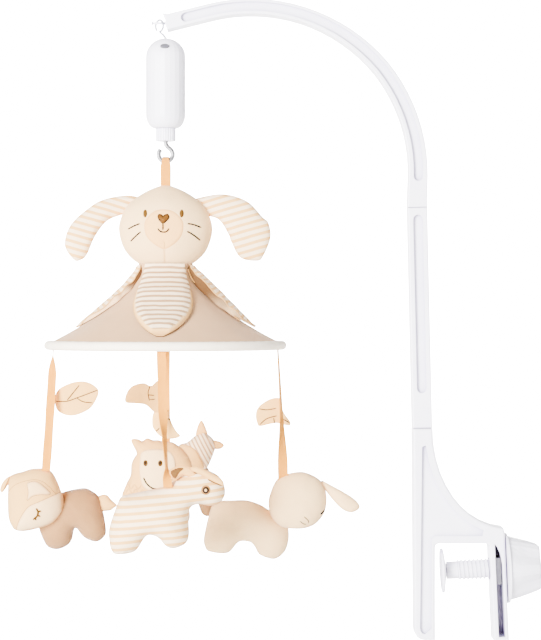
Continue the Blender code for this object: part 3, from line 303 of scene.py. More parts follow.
HARD_NODES = {
    "white": (
        "arch_arm", "middle_post", "clamp_bracket", "hanger_pin", "swivel_stud", "clamp_screw", "clamp_knob",
        "pressure_pad", "case_front", "case_back", "battery_cover", "spindle_collar", "hoop_ring",
    ),
    "clear": ("hanger_eye",),
    "grey": ("power_button", "clamp_nut"),
    "steel": (
        "cover_screw", "battery_contact_lower", "battery_contact_upper", "motor", "output_shaft",
        "spindle_hook",
    ),
    "brass": ("motor_pinion", "output_bush"),
    "board": ("circuit_board",),
    "cell": ("battery_cell_left", "battery_cell_right"),
    "nylon": ("drive_gear",),
    "black": ("tact_switch", "speaker"),
}


def dress(mesh, finish, sharp_degrees):
    """Gives a mesh its material, smooth where its faces meet at less than an angle."""
    mesh.materials.clear()
    mesh.materials.append(MATERIALS[finish])
    mesh.shade_smooth()
    mesh.set_sharp_from_angle(angle=math.radians(sharp_degrees))


def finish_hard_nodes():
    for finish, names in HARD_NODES.items():
        for name in names:
            dress(frame["nodes"][name].data, finish, 32)


# ---- flat outlines, in millimetres --------------------------------------------------------

def through(points, closed, step):
    """A smooth curve through points (Catmull-Rom), with places about a step apart."""
    places = [np.array(point, float) for point in points]
    count = len(places)
    fine = []
    for i in range(count if closed else count - 1):
        near = [(i + k) % count if closed else min(max(i + k, 0), count - 1) for k in (-1, 0, 1, 2)]
        before, start, end, after = (places[k] for k in near)
        square = 2 * before - 5 * start + 4 * end - after
        cubic = 3 * start - before - 3 * end + after
        for share in np.linspace(0, 1, 12, endpoint=False):
            fine.append(start + 0.5 * (share * (end - before) + share ** 2 * square + share ** 3 * cubic))
    line = np.array(fine + [places[0 if closed else -1]])
    along = np.concatenate([[0], np.cumsum(np.linalg.norm(np.diff(line, axis=0), axis=1))])
    wanted = np.linspace(0, along[-1], max(round(along[-1] / step), 3) + 1)
    if closed:
        wanted = wanted[:-1]
    return np.stack([np.interp(wanted, along, line[:, k]) for k in range(line.shape[1])], axis=1)


def is_inside(points, loop):
    """Which points lie inside a closed outline."""
    found = np.zeros(len(points), bool)
    for (x1, z1), (x2, z2) in zip(loop, np.roll(loop, -1, axis=0)):
        crosses = (z1 > points[:, 1]) != (z2 > points[:, 1])
        with np.errstate(divide="ignore", invalid="ignore"):
            reach = (x2 - x1) * (points[:, 1] - z1) / (z2 - z1) + x1
        found ^= crosses & (points[:, 0] < reach)
    return found


def edge_distance(points, loop):
    """Distance of each point to an outline, and how far along the outline the nearest place is."""
    runs = np.roll(loop, -1, axis=0) - loop
    lengths = np.linalg.norm(runs, axis=1)
    along = np.concatenate([[0], np.cumsum(lengths)[:-1]])
    offsets = points[:, None, :] - loop[None]
    shares = np.clip((offsets * runs).sum(2) / np.maximum(lengths ** 2, 1e-9), 0, 1)
    gaps = np.linalg.norm(offsets - shares[:, :, None] * runs, axis=2)
    nearest = gaps.argmin(axis=1)
    rows = np.arange(len(points))
    return gaps[rows, nearest], along[nearest] + shares[rows, nearest] * lengths[nearest]


def filled(loop, step):
    """Points and triangles that fill an outline evenly, and which of the points are on the outline."""
    low, high = loop.min(axis=0), loop.max(axis=0)
    rows = []
    for i, z in enumerate(np.arange(low[1], high[1], step * ROW_SHARE)):
        xs = np.arange(low[0] + (i % 2) * step / 2, high[0], step)
        rows.append(np.stack([xs, np.full(len(xs), z)], axis=1))
    grid = np.concatenate(rows)
    grid = grid[is_inside(grid, loop)]
    grid = grid[edge_distance(grid, loop)[0] > step * 0.6]
    count = len(loop)
    edges = [(i, (i + 1) % count) for i in range(count)]
    points = [Vector(point) for point in np.concatenate([loop, grid])]
    made = delaunay_2d_cdt(points, edges, [], 1, 1e-6, True)
    places = np.array([tuple(place) for place in made[0]])
    order = np.array([sources[0] if sources else -1 for sources in made[3]])
    triangles = np.array([tuple(face) for face in made[2]])
    inside = is_inside(places[triangles].mean(axis=1), loop)
    return places, [tuple(face) for face in triangles[inside].tolist()], (order >= 0) & (order < count)


def billow(places, triangles, on_edge):
    """Height of a skin held at the outline and blown up from inside; 1 mm of half width gives 1 mm."""
    count = len(places)
    links = np.zeros((count, count))
    for face in triangles:
        for a, b in ((0, 1), (1, 2), (2, 0)):
            links[face[a], face[b]] = links[face[b], face[a]] = 1
    degrees = links.sum(axis=1)
    gaps = [np.linalg.norm(places[links[i] > 0] - places[i], axis=1) for i in range(count)]
    lengths = np.array([gap.mean() if len(gap) else 1.0 for gap in gaps])
    free = ~on_edge
    system = (np.diag(degrees) - links)[np.ix_(free, free)]
    load = (degrees * lengths ** 2 / 4)[free]
    heights = np.zeros(count)
    heights[free] = 2 * np.sqrt(np.maximum(np.linalg.solve(system, load), 0))
    return heights


def ellipse(centre, half_x, half_z, count=12):
    turns = [FULL_TURN * i / count for i in range(count)]
    return [(centre[0] + half_x * math.cos(turn), centre[1] + half_z * math.sin(turn)) for turn in turns]


# ---- mesh pieces --------------------------------------------------------------------------

def new_piece(name, verts, faces, finish, body=None, **attributes):
    """A mesh piece, in metres in the frame, with per-point attributes; it rides on a body."""
    mesh = bpy.data.meshes.new(name)
    mesh.from_pydata([tuple(v) for v in verts], [], faces)
    bm = bmesh.new()
    bm.from_mesh(mesh)
    bmesh.ops.recalc_face_normals(bm, faces=bm.faces)
    bm.to_mesh(mesh)
    bm.free()
    mesh.update()
    for key, values in attributes.items():
        layer = mesh.attributes.new(key, "FLOAT", "POINT")
        layer.data.foreach_set("value", np.asarray(values, np.float32))
    dress(mesh, finish, 50)
    piece = bpy.data.objects.new(name, mesh)
    bpy.context.scene.collection.objects.link(piece)
    if body:
        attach(piece, body)
    return piece


def settle(piece, push=4.0, most=2.2):
    """A cloth pass: the filling presses the skins out, and they crease where they are held."""
    mesh = piece.data
    before = np.array([tuple(v.co) for v in mesh.vertices])
    cloth = piece.modifiers.new("filling", "CLOTH")
    stiffness = {"tension_stiffness": 12, "compression_stiffness": 12, "shear_stiffness": 5,
                 "bending_stiffness": 0.4}
    pressure = {"use_pressure": True, "uniform_pressure_force": push}
    for key, value in {"quality": 5, "mass": 0.15, **stiffness, **pressure}.items():
        setattr(cloth.settings, key, value)
    cloth.settings.effector_weights.gravity = 0
    cloth.point_cache.frame_start = 1
    cloth.point_cache.frame_end = CLOTH_FRAMES
    scene = bpy.context.scene
    for step in range(1, CLOTH_FRAMES + 1):
        scene.frame_set(step)
    skin = piece.evaluated_get(bpy.context.evaluated_depsgraph_get()).to_mesh()
    moves = np.array([tuple(v.co) for v in skin.vertices]) - before
    piece.modifiers.remove(cloth)
    scene.frame_set(1)
    moves -= moves.mean(axis=0)
    lengths = np.linalg.norm(moves, axis=1)
    moves *= np.minimum(1, most * MM / np.maximum(lengths, 1e-9))[:, None]
    mesh.vertices.foreach_set("co", (before + moves).astype(np.float32).ravel())
    mesh.update()


def surface_of(*pieces):
    """One search tree over several pieces, in the frame."""
    verts, faces = [], []
    for piece in pieces:
        start = len(verts)
        verts += [piece.matrix_world @ v.co for v in piece.data.vertices]
        faces += [tuple(start + i for i in face.vertices) for face in piece.data.polygons]
    return BVHTree.FromPolygons(verts, faces)


def pressed(base, origin, x, z):
    """The place on the front of a surface, x and z millimetres from an origin, and its normal."""
    start = origin + Vector((x * MM, -0.2, z * MM))
    hit, normal, _, _ = base.ray_cast(start, Vector((0, 1, 0)))
    if hit is None:
        hit, normal, _, _ = base.find_nearest(Vector((start.x, origin.y, start.z)))
    return hit, -normal if normal.y > 0 else normal


def two_skins(triangles, count):
    """Faces of a front skin and of a back one, whose points follow in the same order, joined at the rim."""
    sides = {(face[k], face[(k + 1) % 3]): None for face in triangles for k in range(3)}
    faces = triangles + [tuple(count + i for i in reversed(face)) for face in triangles]
    return faces + [(b, a, count + a, count + b) for a, b in sides if (b, a) not in sides]


def stuffed(name, outline, finish, body, origin, plump, step=1.9, stripes=(0, 1), pucker=0.35, warp=None,
            fill=0.8, back=1.0):
    """A stuffed piece sewn from two skins: an outline in millimetres about an origin, blown up both ways."""
    loop = through(outline, True, step)
    places, triangles, on_edge = filled(loop, step)
    distance, along = edge_distance(places, loop)
    length = np.linalg.norm(loop - np.roll(loop, 1, axis=0), axis=1).sum()
    waves = max(round(length / 5.5), 4)
    ripple = np.sin(FULL_TURN * waves * along / length) * np.exp(-distance / 3.5)
    gathers = 1 - pucker * 0.30 * (0.5 + 0.5 * ripple) * np.exp(-distance / 4.0)
    heights = billow(places, triangles, on_edge) * plump * gathers
    for i, (x, z) in enumerate(places):
        large = noise.noise(Vector((x / 17, z / 17, len(name))))
        small = noise.noise(Vector((x / 6, z / 6, 3.0)))
        heights[i] *= 1 + 0.05 * (large + 0.4 * small)
    heights[on_edge] = 0
    inner = [i for i in range(len(places)) if not on_edge[i]]
    back_index = {i: len(places) + k for k, i in enumerate(inner)}
    verts = [(x, -height, z) for (x, z), height in zip(places, heights)]
    verts += [(places[i][0], heights[i] * back, places[i][1]) for i in inner]
    faces = triangles + [tuple(back_index.get(i, i) for i in reversed(face)) for face in triangles]
    if warp:
        verts = [warp(*v) for v in verts]
    sources = list(range(len(places))) + inner
    piece = new_piece(
        name, [origin + Vector(v) * MM for v in verts], faces, finish, body,
        edge=np.minimum(distance[sources] / 10, 1), stripe=(places @ np.array(stripes, float))[sources],
    )
    settle(piece)
    return piece


def applique(name, outline, finish, body, origin, base, lift=0.8, step=1.3):
    """A patch sewn onto the front of a surface."""
    loop = through(outline, True, step)
    places, triangles, _ = filled(loop, step)
    distance, _ = edge_distance(places, loop)
    over, under = [], []
    for (x, z), up in zip(places, lift * np.minimum(1, np.sqrt(distance / 1.6))):
        hit, normal = pressed(base, origin, x, z)
        over.append(hit + normal * (up * MM))
        under.append(hit - normal * (0.5 * MM))
    edge = np.tile(np.minimum(distance / 10, 1), 2)
    stripe = np.tile(places[:, 1], 2)
    faces = two_skins(triangles, len(places))
    return new_piece(name, over + under, faces, finish, body, edge=edge, stripe=stripe)


def ring_frames(path):
    """Unit tangents and sideways vectors that don't spin along a path."""
    tangents = np.gradient(np.asarray(path, float), axis=0)
    tangents /= np.maximum(np.linalg.norm(tangents, axis=1), 1e-12)[:, None]
    side = np.cross(tangents[0], (0.0, 1.0, 0.0))
    if np.linalg.norm(side) < 0.1:
        side = np.cross(tangents[0], (1.0, 0.0, 0.0))
    sides = []
    for tangent in tangents:
        side = side - tangent * side.dot(tangent)
        side = side / np.linalg.norm(side)
        sides.append(side)
    return tangents, sides


def ring_faces(start, rings, count, looped):
    """Quads between neighbouring rings of points, and a cap at each end of an open run."""
    faces = []
    for k in range(rings if looped else rings - 1):
        low, high = start + k * count, start + ((k + 1) % rings) * count
        faces += [(low + j, low + (j + 1) % count, high + (j + 1) % count, high + j) for j in range(count)]
    if not looped:
        faces.append(tuple(start + j for j in reversed(range(count))))
        faces.append(tuple(start + (rings - 1) * count + j for j in range(count)))
    return faces


def tubes(name, paths, radius, finish, body, twist=0.0, closed=False, sides=8):
    """Round cords along paths in metres, tapered at their ends."""
    verts, faces, stripe = [], [], []
    for path in paths:
        faces += ring_faces(len(verts), len(path), sides, closed)
        run = 0.0
        for k, (place, tangent, side) in enumerate(zip(path, *ring_frames(path))):
            if k:
                run += np.linalg.norm(np.subtract(place, path[k - 1]))
            from_end = min(k, len(path) - 1 - k)
            size = radius if closed or from_end > 1 else radius * (0.55, 0.9)[from_end]
            other = np.cross(tangent, side)
            for j in range(sides):
                turn = FULL_TURN * j / sides
                wave = 1 + twist * math.sin(turn * 2 + run / radius * 1.2)
                spoke = math.cos(turn) * side + math.sin(turn) * other
                verts.append(np.asarray(place) + size * wave * spoke)
                stripe.append(run / MM)
    return new_piece(name, verts, faces, finish, body, edge=np.ones(len(verts)), stripe=stripe)


def stitches(name, lines, finish, body, origin, base, radius, lift=0.25):
    """Embroidered lines laid on a surface, each a smooth path through points in millimetres."""
    paths = []
    for line in lines:
        spots = [pressed(base, origin, x, z) for x, z in through(line, False, 0.9)]
        paths.append([np.array(hit + normal * (lift * MM)) for hit, normal in spots])
    return tubes(name, paths, radius * MM, finish, body, twist=0.12)


def strip(name, centres, across, widths, thickness, columns=6, cup=0.0):
    """A flat tape with real thickness: centres, unit side vectors and widths along it, in metres."""
    verts, stripe = [], []
    rows = len(centres)
    run = 0.0
    for k in range(rows):
        if k:
            run += (centres[k] - centres[k - 1]).length
        before, after = centres[max(k - 1, 0)], centres[min(k + 1, rows - 1)]
        normal = (after - before).normalized().cross(across[k]).normalized()
        for layer in (1, -1):
            for j in range(columns + 1)[::layer]:
                share = 2 * j / columns - 1
                rise = layer * thickness / 2 + cup * (share * share - 0.5)
                verts.append(centres[k] + across[k] * (share * widths[k] / 2) + normal * rise)
                stripe.append(run / MM)
    faces = ring_faces(0, rows, 2 * (columns + 1), False)
    return new_piece(name, verts, faces, "tape", edge=np.ones(len(verts)), stripe=stripe)


def skinned(name, rings, finish, looped=False, edge=None):
    """Skins a list of rings with the same number of points, in metres."""
    verts = [v for ring in rings for v in ring]
    faces = ring_faces(0, len(rings), len(rings[0]), looped)
    edges = np.ones(len(verts)) if edge is None else edge
    return new_piece(name, verts, faces, finish, "canopy", edge=edges, stripe=np.zeros(len(verts)))


class Figure:
    """Short calls for the soft pieces of one figure, whose outlines are in millimetres about its origin."""

    def __init__(self, name, body, origin):
        self.name = name
        self.body = body
        self.origin = origin

    def at(self, depth):
        """The origin, moved back by a number of millimetres."""
        return self.origin + Vector((0, depth, 0)) * MM

    def plush(self, part, outline, finish, depth=0, stands_for=(), **settings):
        piece = stuffed(f"{self.name}_{part}", outline, finish, self.body, self.at(depth), **settings)
        for node in stands_for:
            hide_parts(f"{self.name}_{node}")
        return piece

    def patch(self, part, outline, finish, base, depth=0, **settings):
        return applique(f"{self.name}_{part}", outline, finish, self.body, self.at(depth), base, **settings)

    def sew(self, part, lines, finish, radius, base, depth=0, lift=0.25):
        return stitches(f"{self.name}_{part}", lines, finish, self.body, self.at(depth), base, radius, lift)


# ---- rabbit head --------------------------------------------------------------------------

RABBIT = Figure("rabbit", "canopy", HEAD_CENTRE)
HEAD_PROFILE = (
    (0, HEAD_RISE), (6, HEAD_RISE), (22, 32), (38, 20), (46, 3), (46, -11), (39, -28), (24, -40), (0, -42),
)
HEAD_DEPTH = 0.70
MUZZLE_FOOT = -16


def build_head():
    """The stuffed head: a plump turned form with a chin dart, a centre seam and soft cheeks."""
    sides = 96
    rings, edge = [], []
    for radius, height in through(HEAD_PROFILE, False, 1.8)[1:-1]:
        ring = []
        for j in range(sides):
            turn = FULL_TURN * j / sides
            x, y = radius * math.cos(turn), radius * HEAD_DEPTH * math.sin(turn)
            from_seam = abs(abs(turn - math.pi) - math.pi / 2) * max(radius, 1)
            seamed = (y < 0 and height < MUZZLE_FOOT) or y > 0
            dip = 0.9 * math.exp(-(from_seam / 2.2) ** 2) if seamed else 0.0
            from_side = min(turn, FULL_TURN - turn, abs(turn - math.pi)) * radius
            side_seam = 0.8 * math.exp(-(from_side / 1.8) ** 2)
            lump = 0.5 * noise.noise(Vector((x / 16, y / 16, height / 16)))
            swell = 1 + (lump - dip - side_seam) / max(radius, 12)
            ring.append(HEAD_CENTRE + Vector((x * swell, y * swell, height)) * MM)
            edge.append(min(min(from_seam if dip else 10, 10) / 10 + 0.02, 1))
        rings.append(ring)
    head = skinned("rabbit_head_plush", rings, "cream", edge=edge)
    settle(head, push=2.0, most=1.2)
    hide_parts("rabbit_head")
    build_face(head)


def build_face(head):
    """The muzzle patch, the eyes and nose, and the embroidered mouth, whiskers and chin."""
    muzzle = [
        (-1, 14), (9, 12), (17.5, 4), (19, -4), (16.5, -13), (9.5, -20.5), (0, -25), (-9.5, -20.5),
        (-17, -13), (-19.5, -4), (-18, 4), (-10, 12),
    ]
    patch = RABBIT.patch("muzzle_patch", muzzle, "muzzle", surface_of(head), lift=0.6)
    face = surface_of(head, patch)
    for side, x in (("left", -18.8), ("right", 17.2)):
        RABBIT.patch(f"eye_{side}", ellipse((x, 10.0), 2.1, 4.1), "gold", face, lift=1.3, step=0.7)
    heart = [
        (-1, 7), (1, 8.5), (3.5, 9), (5, 6.5), (3.5, 3.5), (-1, 0), (-5, 4), (-6, 7), (-5, 9), (-2.5, 8.5),
    ]
    nose = RABBIT.patch("nose", heart, "rust", face, lift=1.5, step=0.7)
    RABBIT.sew("nose_edge", [heart + heart[:1]], "brown", 0.45, surface_of(head, patch, nose))
    mouth = [
        [(-1, 0), (-1, -6.5)],
        [(-6, -5), (-4, -7.5), (-1, -8.5), (2.5, -8), (5, -5)],
    ]
    whiskers = [
        [(-36, -5), (-29.5, -2), (-24, 0)],
        [(-33.5, -17), (-28, -12), (-23, -8)],
        [(23, 0), (29, -1), (36, -3.5)],
        [(22.5, -7.5), (28.5, -11), (35, -16)],
    ]
    RABBIT.sew("mouth", mouth, "brown", 0.7, face)
    RABBIT.sew("whiskers", whiskers, "brown", 0.75, face)
    RABBIT.sew("chin_dart", [[(-0.5, -17), (0.5, -20.5), (0, -24)]], "seam", 0.3, face)
    RABBIT.sew("chin_seam", [[(-0.5, -25), (0, -31), (0, -37)]], "seam", 0.2, face, lift=0.0)


EARS = {
    "left": (
        (-20, 24), (-36, 30), (-61, 26), (-77, 17), (-95, 0), (-101, -20), (-92, -35), (-85, -35),
        (-79, -30), (-70, -13), (-57, 3), (-40, 11), (-30, 12),
    ),
    "right": (
        (18, 22), (30, 27), (57, 31), (81, 24), (97, 8), (103, 2), (105, -13), (98, -31), (92, -36),
        (75, -33), (65, -17), (62, -10), (51, 5), (30, 13),
    ),
}
EAR_SLANTS = {"left": (0.28, 0.96), "right": (-0.28, 0.96)}
EAR_ROOT = 34


def gathered(x, y, z):
    """Bends an ear: pleats where it is sewn into the head, and a lean forward at its tip."""
    from_head = max(abs(x) - EAR_ROOT, 0)
    pleat = math.exp(-from_head / 9)
    fold = 1.6 * pleat * math.sin(z * 1.15)
    lean = -2.5 * (from_head / 60) ** 2
    return (x, y * (1 - 0.45 * pleat) + fold + lean, z)


def build_ears():
    """Long drooping ears of striped jersey, gathered where they are sewn into the head."""
    for side, outline in EARS.items():
        RABBIT.plush(
            f"ear_{side}_plush", outline, "stripe", stands_for=(f"ear_{side}",), plump=0.36,
            stripes=EAR_SLANTS[side], warp=gathered, fill=0.35, pucker=0.6,
        )


# ---- canopy, in millimetres above the hoop's centreline -----------------------------------

CONE_SPAN = (NECK_Z - HOOP_Z) / MM
CANOPY_LOW = 3
CANOPY_RISE = CONE_SPAN + 0.6
CANOPY_CLOTH = 0.9
SLEEVE_CLOTH = 0.75
CONE_FOOT = 5
FOOT_RADIUS = 111
NECK_RADIUS = 27
CONE_SWELL = 14


def cone_radius(height):
    """Radius of the canopy at a height."""
    share = min(max((height - CONE_FOOT) / (CONE_SPAN - CONE_FOOT), 0.0), 1.0)
    return FOOT_RADIUS * (1 - share) ** 1.6 + NECK_RADIUS * share + CONE_SWELL * share * (1 - share)


def cone_point(turn, height, off=0.0):
    """A place on the canopy's outer face, with the given distance off it, in metres in the frame."""
    slope = (cone_radius(height + 1) - cone_radius(height - 1)) / 2
    lean = math.hypot(1, slope)
    radius = cone_radius(height) + off / lean
    rise = height + off * -slope / lean
    flatten = 1 - 0.28 * min(max((height - 50) / 26, 0.0), 1.0)
    depth = radius * flatten * math.sin(turn)
    return Vector((AXIS_X + radius * MM * math.cos(turn), depth * MM, HOOP_Z + rise * MM))


def canopy_ripple(turn, height):
    """Soft folds: gathers under the neck, and a faint sag in four places round the hoop."""
    share = (height - CONE_FOOT) / (CONE_SPAN - CONE_FOOT)
    gathers = 0.55 * math.sin(turn * 26 + 0.8 * math.sin(turn * 5)) * max(share, 0) ** 3
    sag = -0.9 * math.sin(math.pi * share) * (0.5 + 0.5 * math.cos(turn * 4))
    crease = 0.5 * noise.noise(Vector((math.cos(turn) * 4, math.sin(turn) * 4, height / 22)))
    return gathers + sag + crease - 0.4


def build_canopy():
    """The canopy skin: one continuous sheet from the neck down into the hoop's sleeve."""
    columns, rows = 160, 44
    turns = [FULL_TURN * j / columns for j in range(columns)]
    heights = [CANOPY_LOW + CANOPY_RISE * k / rows for k in range(rows + 1)]
    outer, inner = (
        [[cone_point(t, height, canopy_ripple(t, height) - depth) for t in turns] for height in heights]
        for depth in (0, CANOPY_CLOTH)
    )
    skin = skinned("canopy_skin", outer + inner[::-1], "beige", looped=True)
    # Painted shade: the canopy takes the dark lining colour in the pockets behind the bound slits, where the
    # side petals stand off.
    shown = [slit_pocket_shade(turn, height) for height in heights for turn in turns]
    layer = skin.data.attributes.new("lining", "FLOAT", "POINT")
    layer.data.foreach_set("value", shown + [0.0] * len(shown))
    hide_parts("canopy_cone")


def build_sleeve():
    """The sleeve round the hoop: a tube of pale cotton with small gathers, and the seam along its hem."""
    columns, sides = 220, 20
    verts, faces = [], []
    outer = SLEEVE_RADIUS / MM - 0.15
    for radius in (outer, outer - SLEEVE_CLOTH):
        faces += ring_faces(len(verts), columns, sides, True)
        for k in range(columns):
            turn = FULL_TURN * k / columns
            wrinkle = noise.noise(Vector((math.cos(turn) * 9, math.sin(turn) * 9, 0)))
            gather = 0.10 * math.sin(turn * 58 + 1.7 * math.sin(turn * 7)) + 0.12 * wrinkle
            for j in range(sides):
                around = FULL_TURN * j / sides
                size = radius + gather * (0.6 + 0.4 * math.cos(around))
                reach = HOOP_RADIUS / MM + size * math.cos(around)
                x, y = reach * math.cos(turn) * MM, reach * math.sin(turn) * MM
                verts.append(Vector((AXIS_X + x, y, HOOP_Z + size * math.sin(around) * MM)))
    plain = {"edge": np.ones(len(verts)), "stripe": np.zeros(len(verts))}
    sleeve = new_piece("hoop_sleeve_cotton", verts, faces, "sleeve", "canopy", **plain)
    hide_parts("hoop_sleeve")
    hem = [cone_point(FULL_TURN * k / 240, 4.2, 0.25) for k in range(240)]
    tubes("canopy_hem_seam", [hem], 0.35 * MM, "tan", "canopy", closed=True)


def lining_shade_share(height, shade_heights):
    """How much painted shade in the dark lining colour goes on at a height: none at the first, all of it at
    the second.
    """
    return min(max((height - shade_heights[0]) / (shade_heights[1] - shade_heights[0]), 0.0), 1.0)


def length_of(places):
    """Length of a run of places, in their own unit."""
    return sum((after - before).length for before, after in zip(places, places[1:]))


def petal_pad(name, azimuth, form, finish, puff, lift, stand=0.0, ruffle=0.0, border=0.0, shade_heights=(0, 1)):
    """A padded petal on the canopy, given as (height, half width) from its top down.

    It stands off the canopy most at mid height, and its edges can be ruffled.
    """
    rows, columns = 60, 28
    tops, bottoms, edge, stripe, plain = [], [], [], [], []
    table = through(form, False, 0.7)
    length = length_of([cone_point(0, height) for height, _ in table]) / MM
    run = 0.0
    previous = cone_point(azimuth, table[0][0])
    for k in range(rows + 1):
        place = k / rows * (len(table) - 1)
        low = min(int(place), len(table) - 2)
        height, half = table[low] + (table[low + 1] - table[low]) * (place - low)
        middle = cone_point(azimuth, height)
        run += (middle - previous).length / MM
        previous = middle
        share = run / length
        raised = lift + stand * math.sin(math.pi * min(share, 1) ** 0.7)
        top, bottom = [], []
        for j in range(columns + 1):
            across = 2 * j / columns - 1
            wave = ruffle * abs(across) ** 4 * math.sin(share * 26 + 1.3 * math.sin(share * 9 + azimuth))
            aside = half * across * (1 + 0.05 * wave)
            turn = azimuth + aside / max(cone_radius(height) + raised, 20)
            near = min(half * (1 - abs(across)), run * 0.6 + 1.0, (length - run) * 0.8)
            swell = puff * min(1.0, math.sqrt(max(near, 0) / 10))
            lump = 0.45 * noise.noise(Vector((aside / 8, run / 8, azimuth)))
            off = raised + wave * min(1, share * 6)
            top.append(cone_point(turn, height, off + swell + 0.4 + lump * min(near / 4, 1)))
            bottom.append(cone_point(turn, height, 0.2))
            edge.append(min(near / 10, 1))
            wobble = 0.8 * noise.noise(Vector((aside / 14, run / 14, 5)))
            stripe.append(run + 1.3 * (1 - across * across) + wobble)
            plain.append(1.0 if near < border and share > 0.35 else 0.0)
        tops.append(top)
        bottoms.append(bottom)
    count = columns + 1
    verts = [v for row in tops + bottoms for v in row]
    start = len(tops) * count
    grid = [k * count + j for k in range(rows) for j in range(columns)]
    faces = [(i, i + 1, i + count + 1, i + count) for i in grid]
    faces += [(start + i + count, start + i + count + 1, start + i + 1, start + i) for i in grid]
    loop = list(range(columns)) + [k * count + columns for k in range(rows)]
    loop += [rows * count + j for j in range(columns, 0, -1)] + [k * count for k in range(rows, 0, -1)]
    wall = len(verts)
    verts += [verts[i] for i in loop]
    for k, a in enumerate(loop):
        after = (k + 1) % len(loop)
        faces.append((wall + after, wall + k, start + a, start + loop[after]))
    ones, zeros = [1.0] * len(loop), [0.0] * len(loop)
    # Painted shade: the petal's underside and side wall take the dark lining colour, more of it higher up.
    shown = [lining_shade_share((point.z - HOOP_Z) / MM, shade_heights) for point in verts[start:]]
    pad = new_piece(
        name, verts, faces, finish, "canopy", edge=edge * 2 + ones, stripe=stripe * 2 + ones,
        border=plain * 2 + zeros, lining=[0.0] * start + shown,
    )
    rim = [row[0] for row in tops] + tops[rows][1:columns] + [row[columns] for row in reversed(tops)]
    return pad, rim


BELLY_FORM = (
    (81, 21.5), (76, 22.4), (66, 24.5), (56, 27.8), (41, 30.4), (29.5, 27.4), (19.5, 19.5), (13, 11),
    (9.2, 3.5),
)
PETAL_FORM = ((80, 14), (76, 16), (66, 20), (56, 23), (42, 25), (30, 23), (21, 13), (17.5, 4))
# Heights over which the painted shade on the lining goes from none to full; above the second it stays full
# up to the neck.
POCKET_SHADE_HEIGHTS = {"left": (48, 62), "right": (18, 50), "back": (48, 62)}
SLIT_TURNS = {
    "right": ((76, -34), (64, -31), (55, -23), (46, -16.5), (36, -15.5), (24, -18)),
    "left": ((76, -148), (66, -151), (58.5, -155.5), (52, -166), (43, -174), (33, -178)),
}


def build_petals():
    """The belly pad in front, the side and back petals, and the bound edges of the front panel."""
    belly, rim = petal_pad("belly_pad", -math.pi / 2, BELLY_FORM, "belly_stripe", 4.6, 1.2, border=3.6)
    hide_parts("belly_petal")
    tubes("belly_binding", [rim], 0.45 * MM, "seam", "canopy")
    for side, azimuth, stand in (("left", math.pi, 4.5), ("right", 0.0, 8.5), ("back", math.pi / 2, 4.5)):
        settings = {"stand": stand, "ruffle": 1.3, "shade_heights": POCKET_SHADE_HEIGHTS[side]}
        pad, rim = petal_pad(f"{side}_petal_pad", azimuth, PETAL_FORM, "stripe", 1.6, 0.6, **settings)
        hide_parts(f"{side}_petal")
        tubes(f"{side}_petal_binding", [rim], 0.6 * MM, "seam", "canopy")
    bound = []
    for places in SLIT_TURNS.values():
        line = through(places, False, 1.2)
        bound.append([cone_point(math.radians(turn), height, 0.7) for height, turn in line])
    tubes("front_panel_binding", bound, 0.75 * MM, "binding", "canopy")


def slit_pocket_shade(turn, height):
    """Painted shade in the pocket between a bound edge of the front panel and the side petal's middle: how
    much of the dark lining colour goes there.
    """
    degrees = math.degrees(math.remainder(turn, FULL_TURN))
    for side, places in SLIT_TURNS.items():
        heights, turns = zip(*reversed(places))
        if not heights[0] < height <= heights[-1] + 2:
            continue
        limit = float(np.interp(height, heights, turns))
        if (side == "right" and limit < degrees < 0) or (side == "left" and -180 < degrees < limit):
            return lining_shade_share(height, POCKET_SHADE_HEIGHTS[side])
    return 0.0


def build_top_ribbon():
    """The loop of tape that hangs the canopy on the hook."""
    pivot = PIVOTS["canopy_swing"]
    bottom = (HEAD_TOP - pivot.z) / MM - 1.5
    rise, half = 3.2, 3.9
    places = [(-2.2, bottom), (-half + 0.4, bottom + 8), (-half, -6)]
    for i in range(9):
        turn = math.pi - math.pi * i / 8
        places.append((half * math.cos(turn), 0.6 + (rise + 0.6) * math.sin(turn)))
    places += [(half, -6), (half - 0.4, bottom + 8), (2.2, bottom)]
    path = through(places, False, 0.7)
    centres = [pivot + Vector((0, y, z)) * MM for y, z in path]
    across = [Vector((1, 0, 0))] * len(centres)
    widths = [(10 - 3.6 * math.exp(-((z - rise) / 4.5) ** 2)) * MM for _, z in path]
    loop = strip("top_ribbon_tape", centres, across, widths, 0.8 * MM)
    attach(loop, "canopy")
    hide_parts("top_ribbon")


# ---- ribbons and leaves -------------------------------------------------------------------

def hanging_tape(toy, end, facings, sway=0.0, wide=8.6, shift=0.0):
    """A ribbon from the hoop to a toy's neck; facings are its turns at shares of its length."""
    pivot = PIVOTS[f"{toy}_swing"]
    top = pivot + Vector((shift, 0, 0 if toy == "lion" else 2.2)) * MM
    bottom = pivot + Vector(end) * MM
    rows = 110
    shares, turns = zip(*facings)
    centres, across, widths = [], [], []
    for k in range(rows + 1):
        share = k / rows
        aside = Vector((sway * math.sin(math.pi * share), 0.5 * math.sin(9 * share), 0)) * MM
        centres.append(top.lerp(bottom, share) + aside)
        turn = math.radians(float(np.interp(share, shares, turns)))
        across.append(Vector((math.cos(turn), math.sin(turn), 0)))
        widths.append(wide * (1 + 0.03 * math.sin(17 * share)) * MM)
    tape = strip(f"{toy}_ribbon_tape", centres, across, widths, TAPE_THICKNESS, cup=0.3 * MM)
    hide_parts(f"{toy}_ribbon")
    if toy == "lion":
        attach(tape, toy)
    else:
        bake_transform(tape)


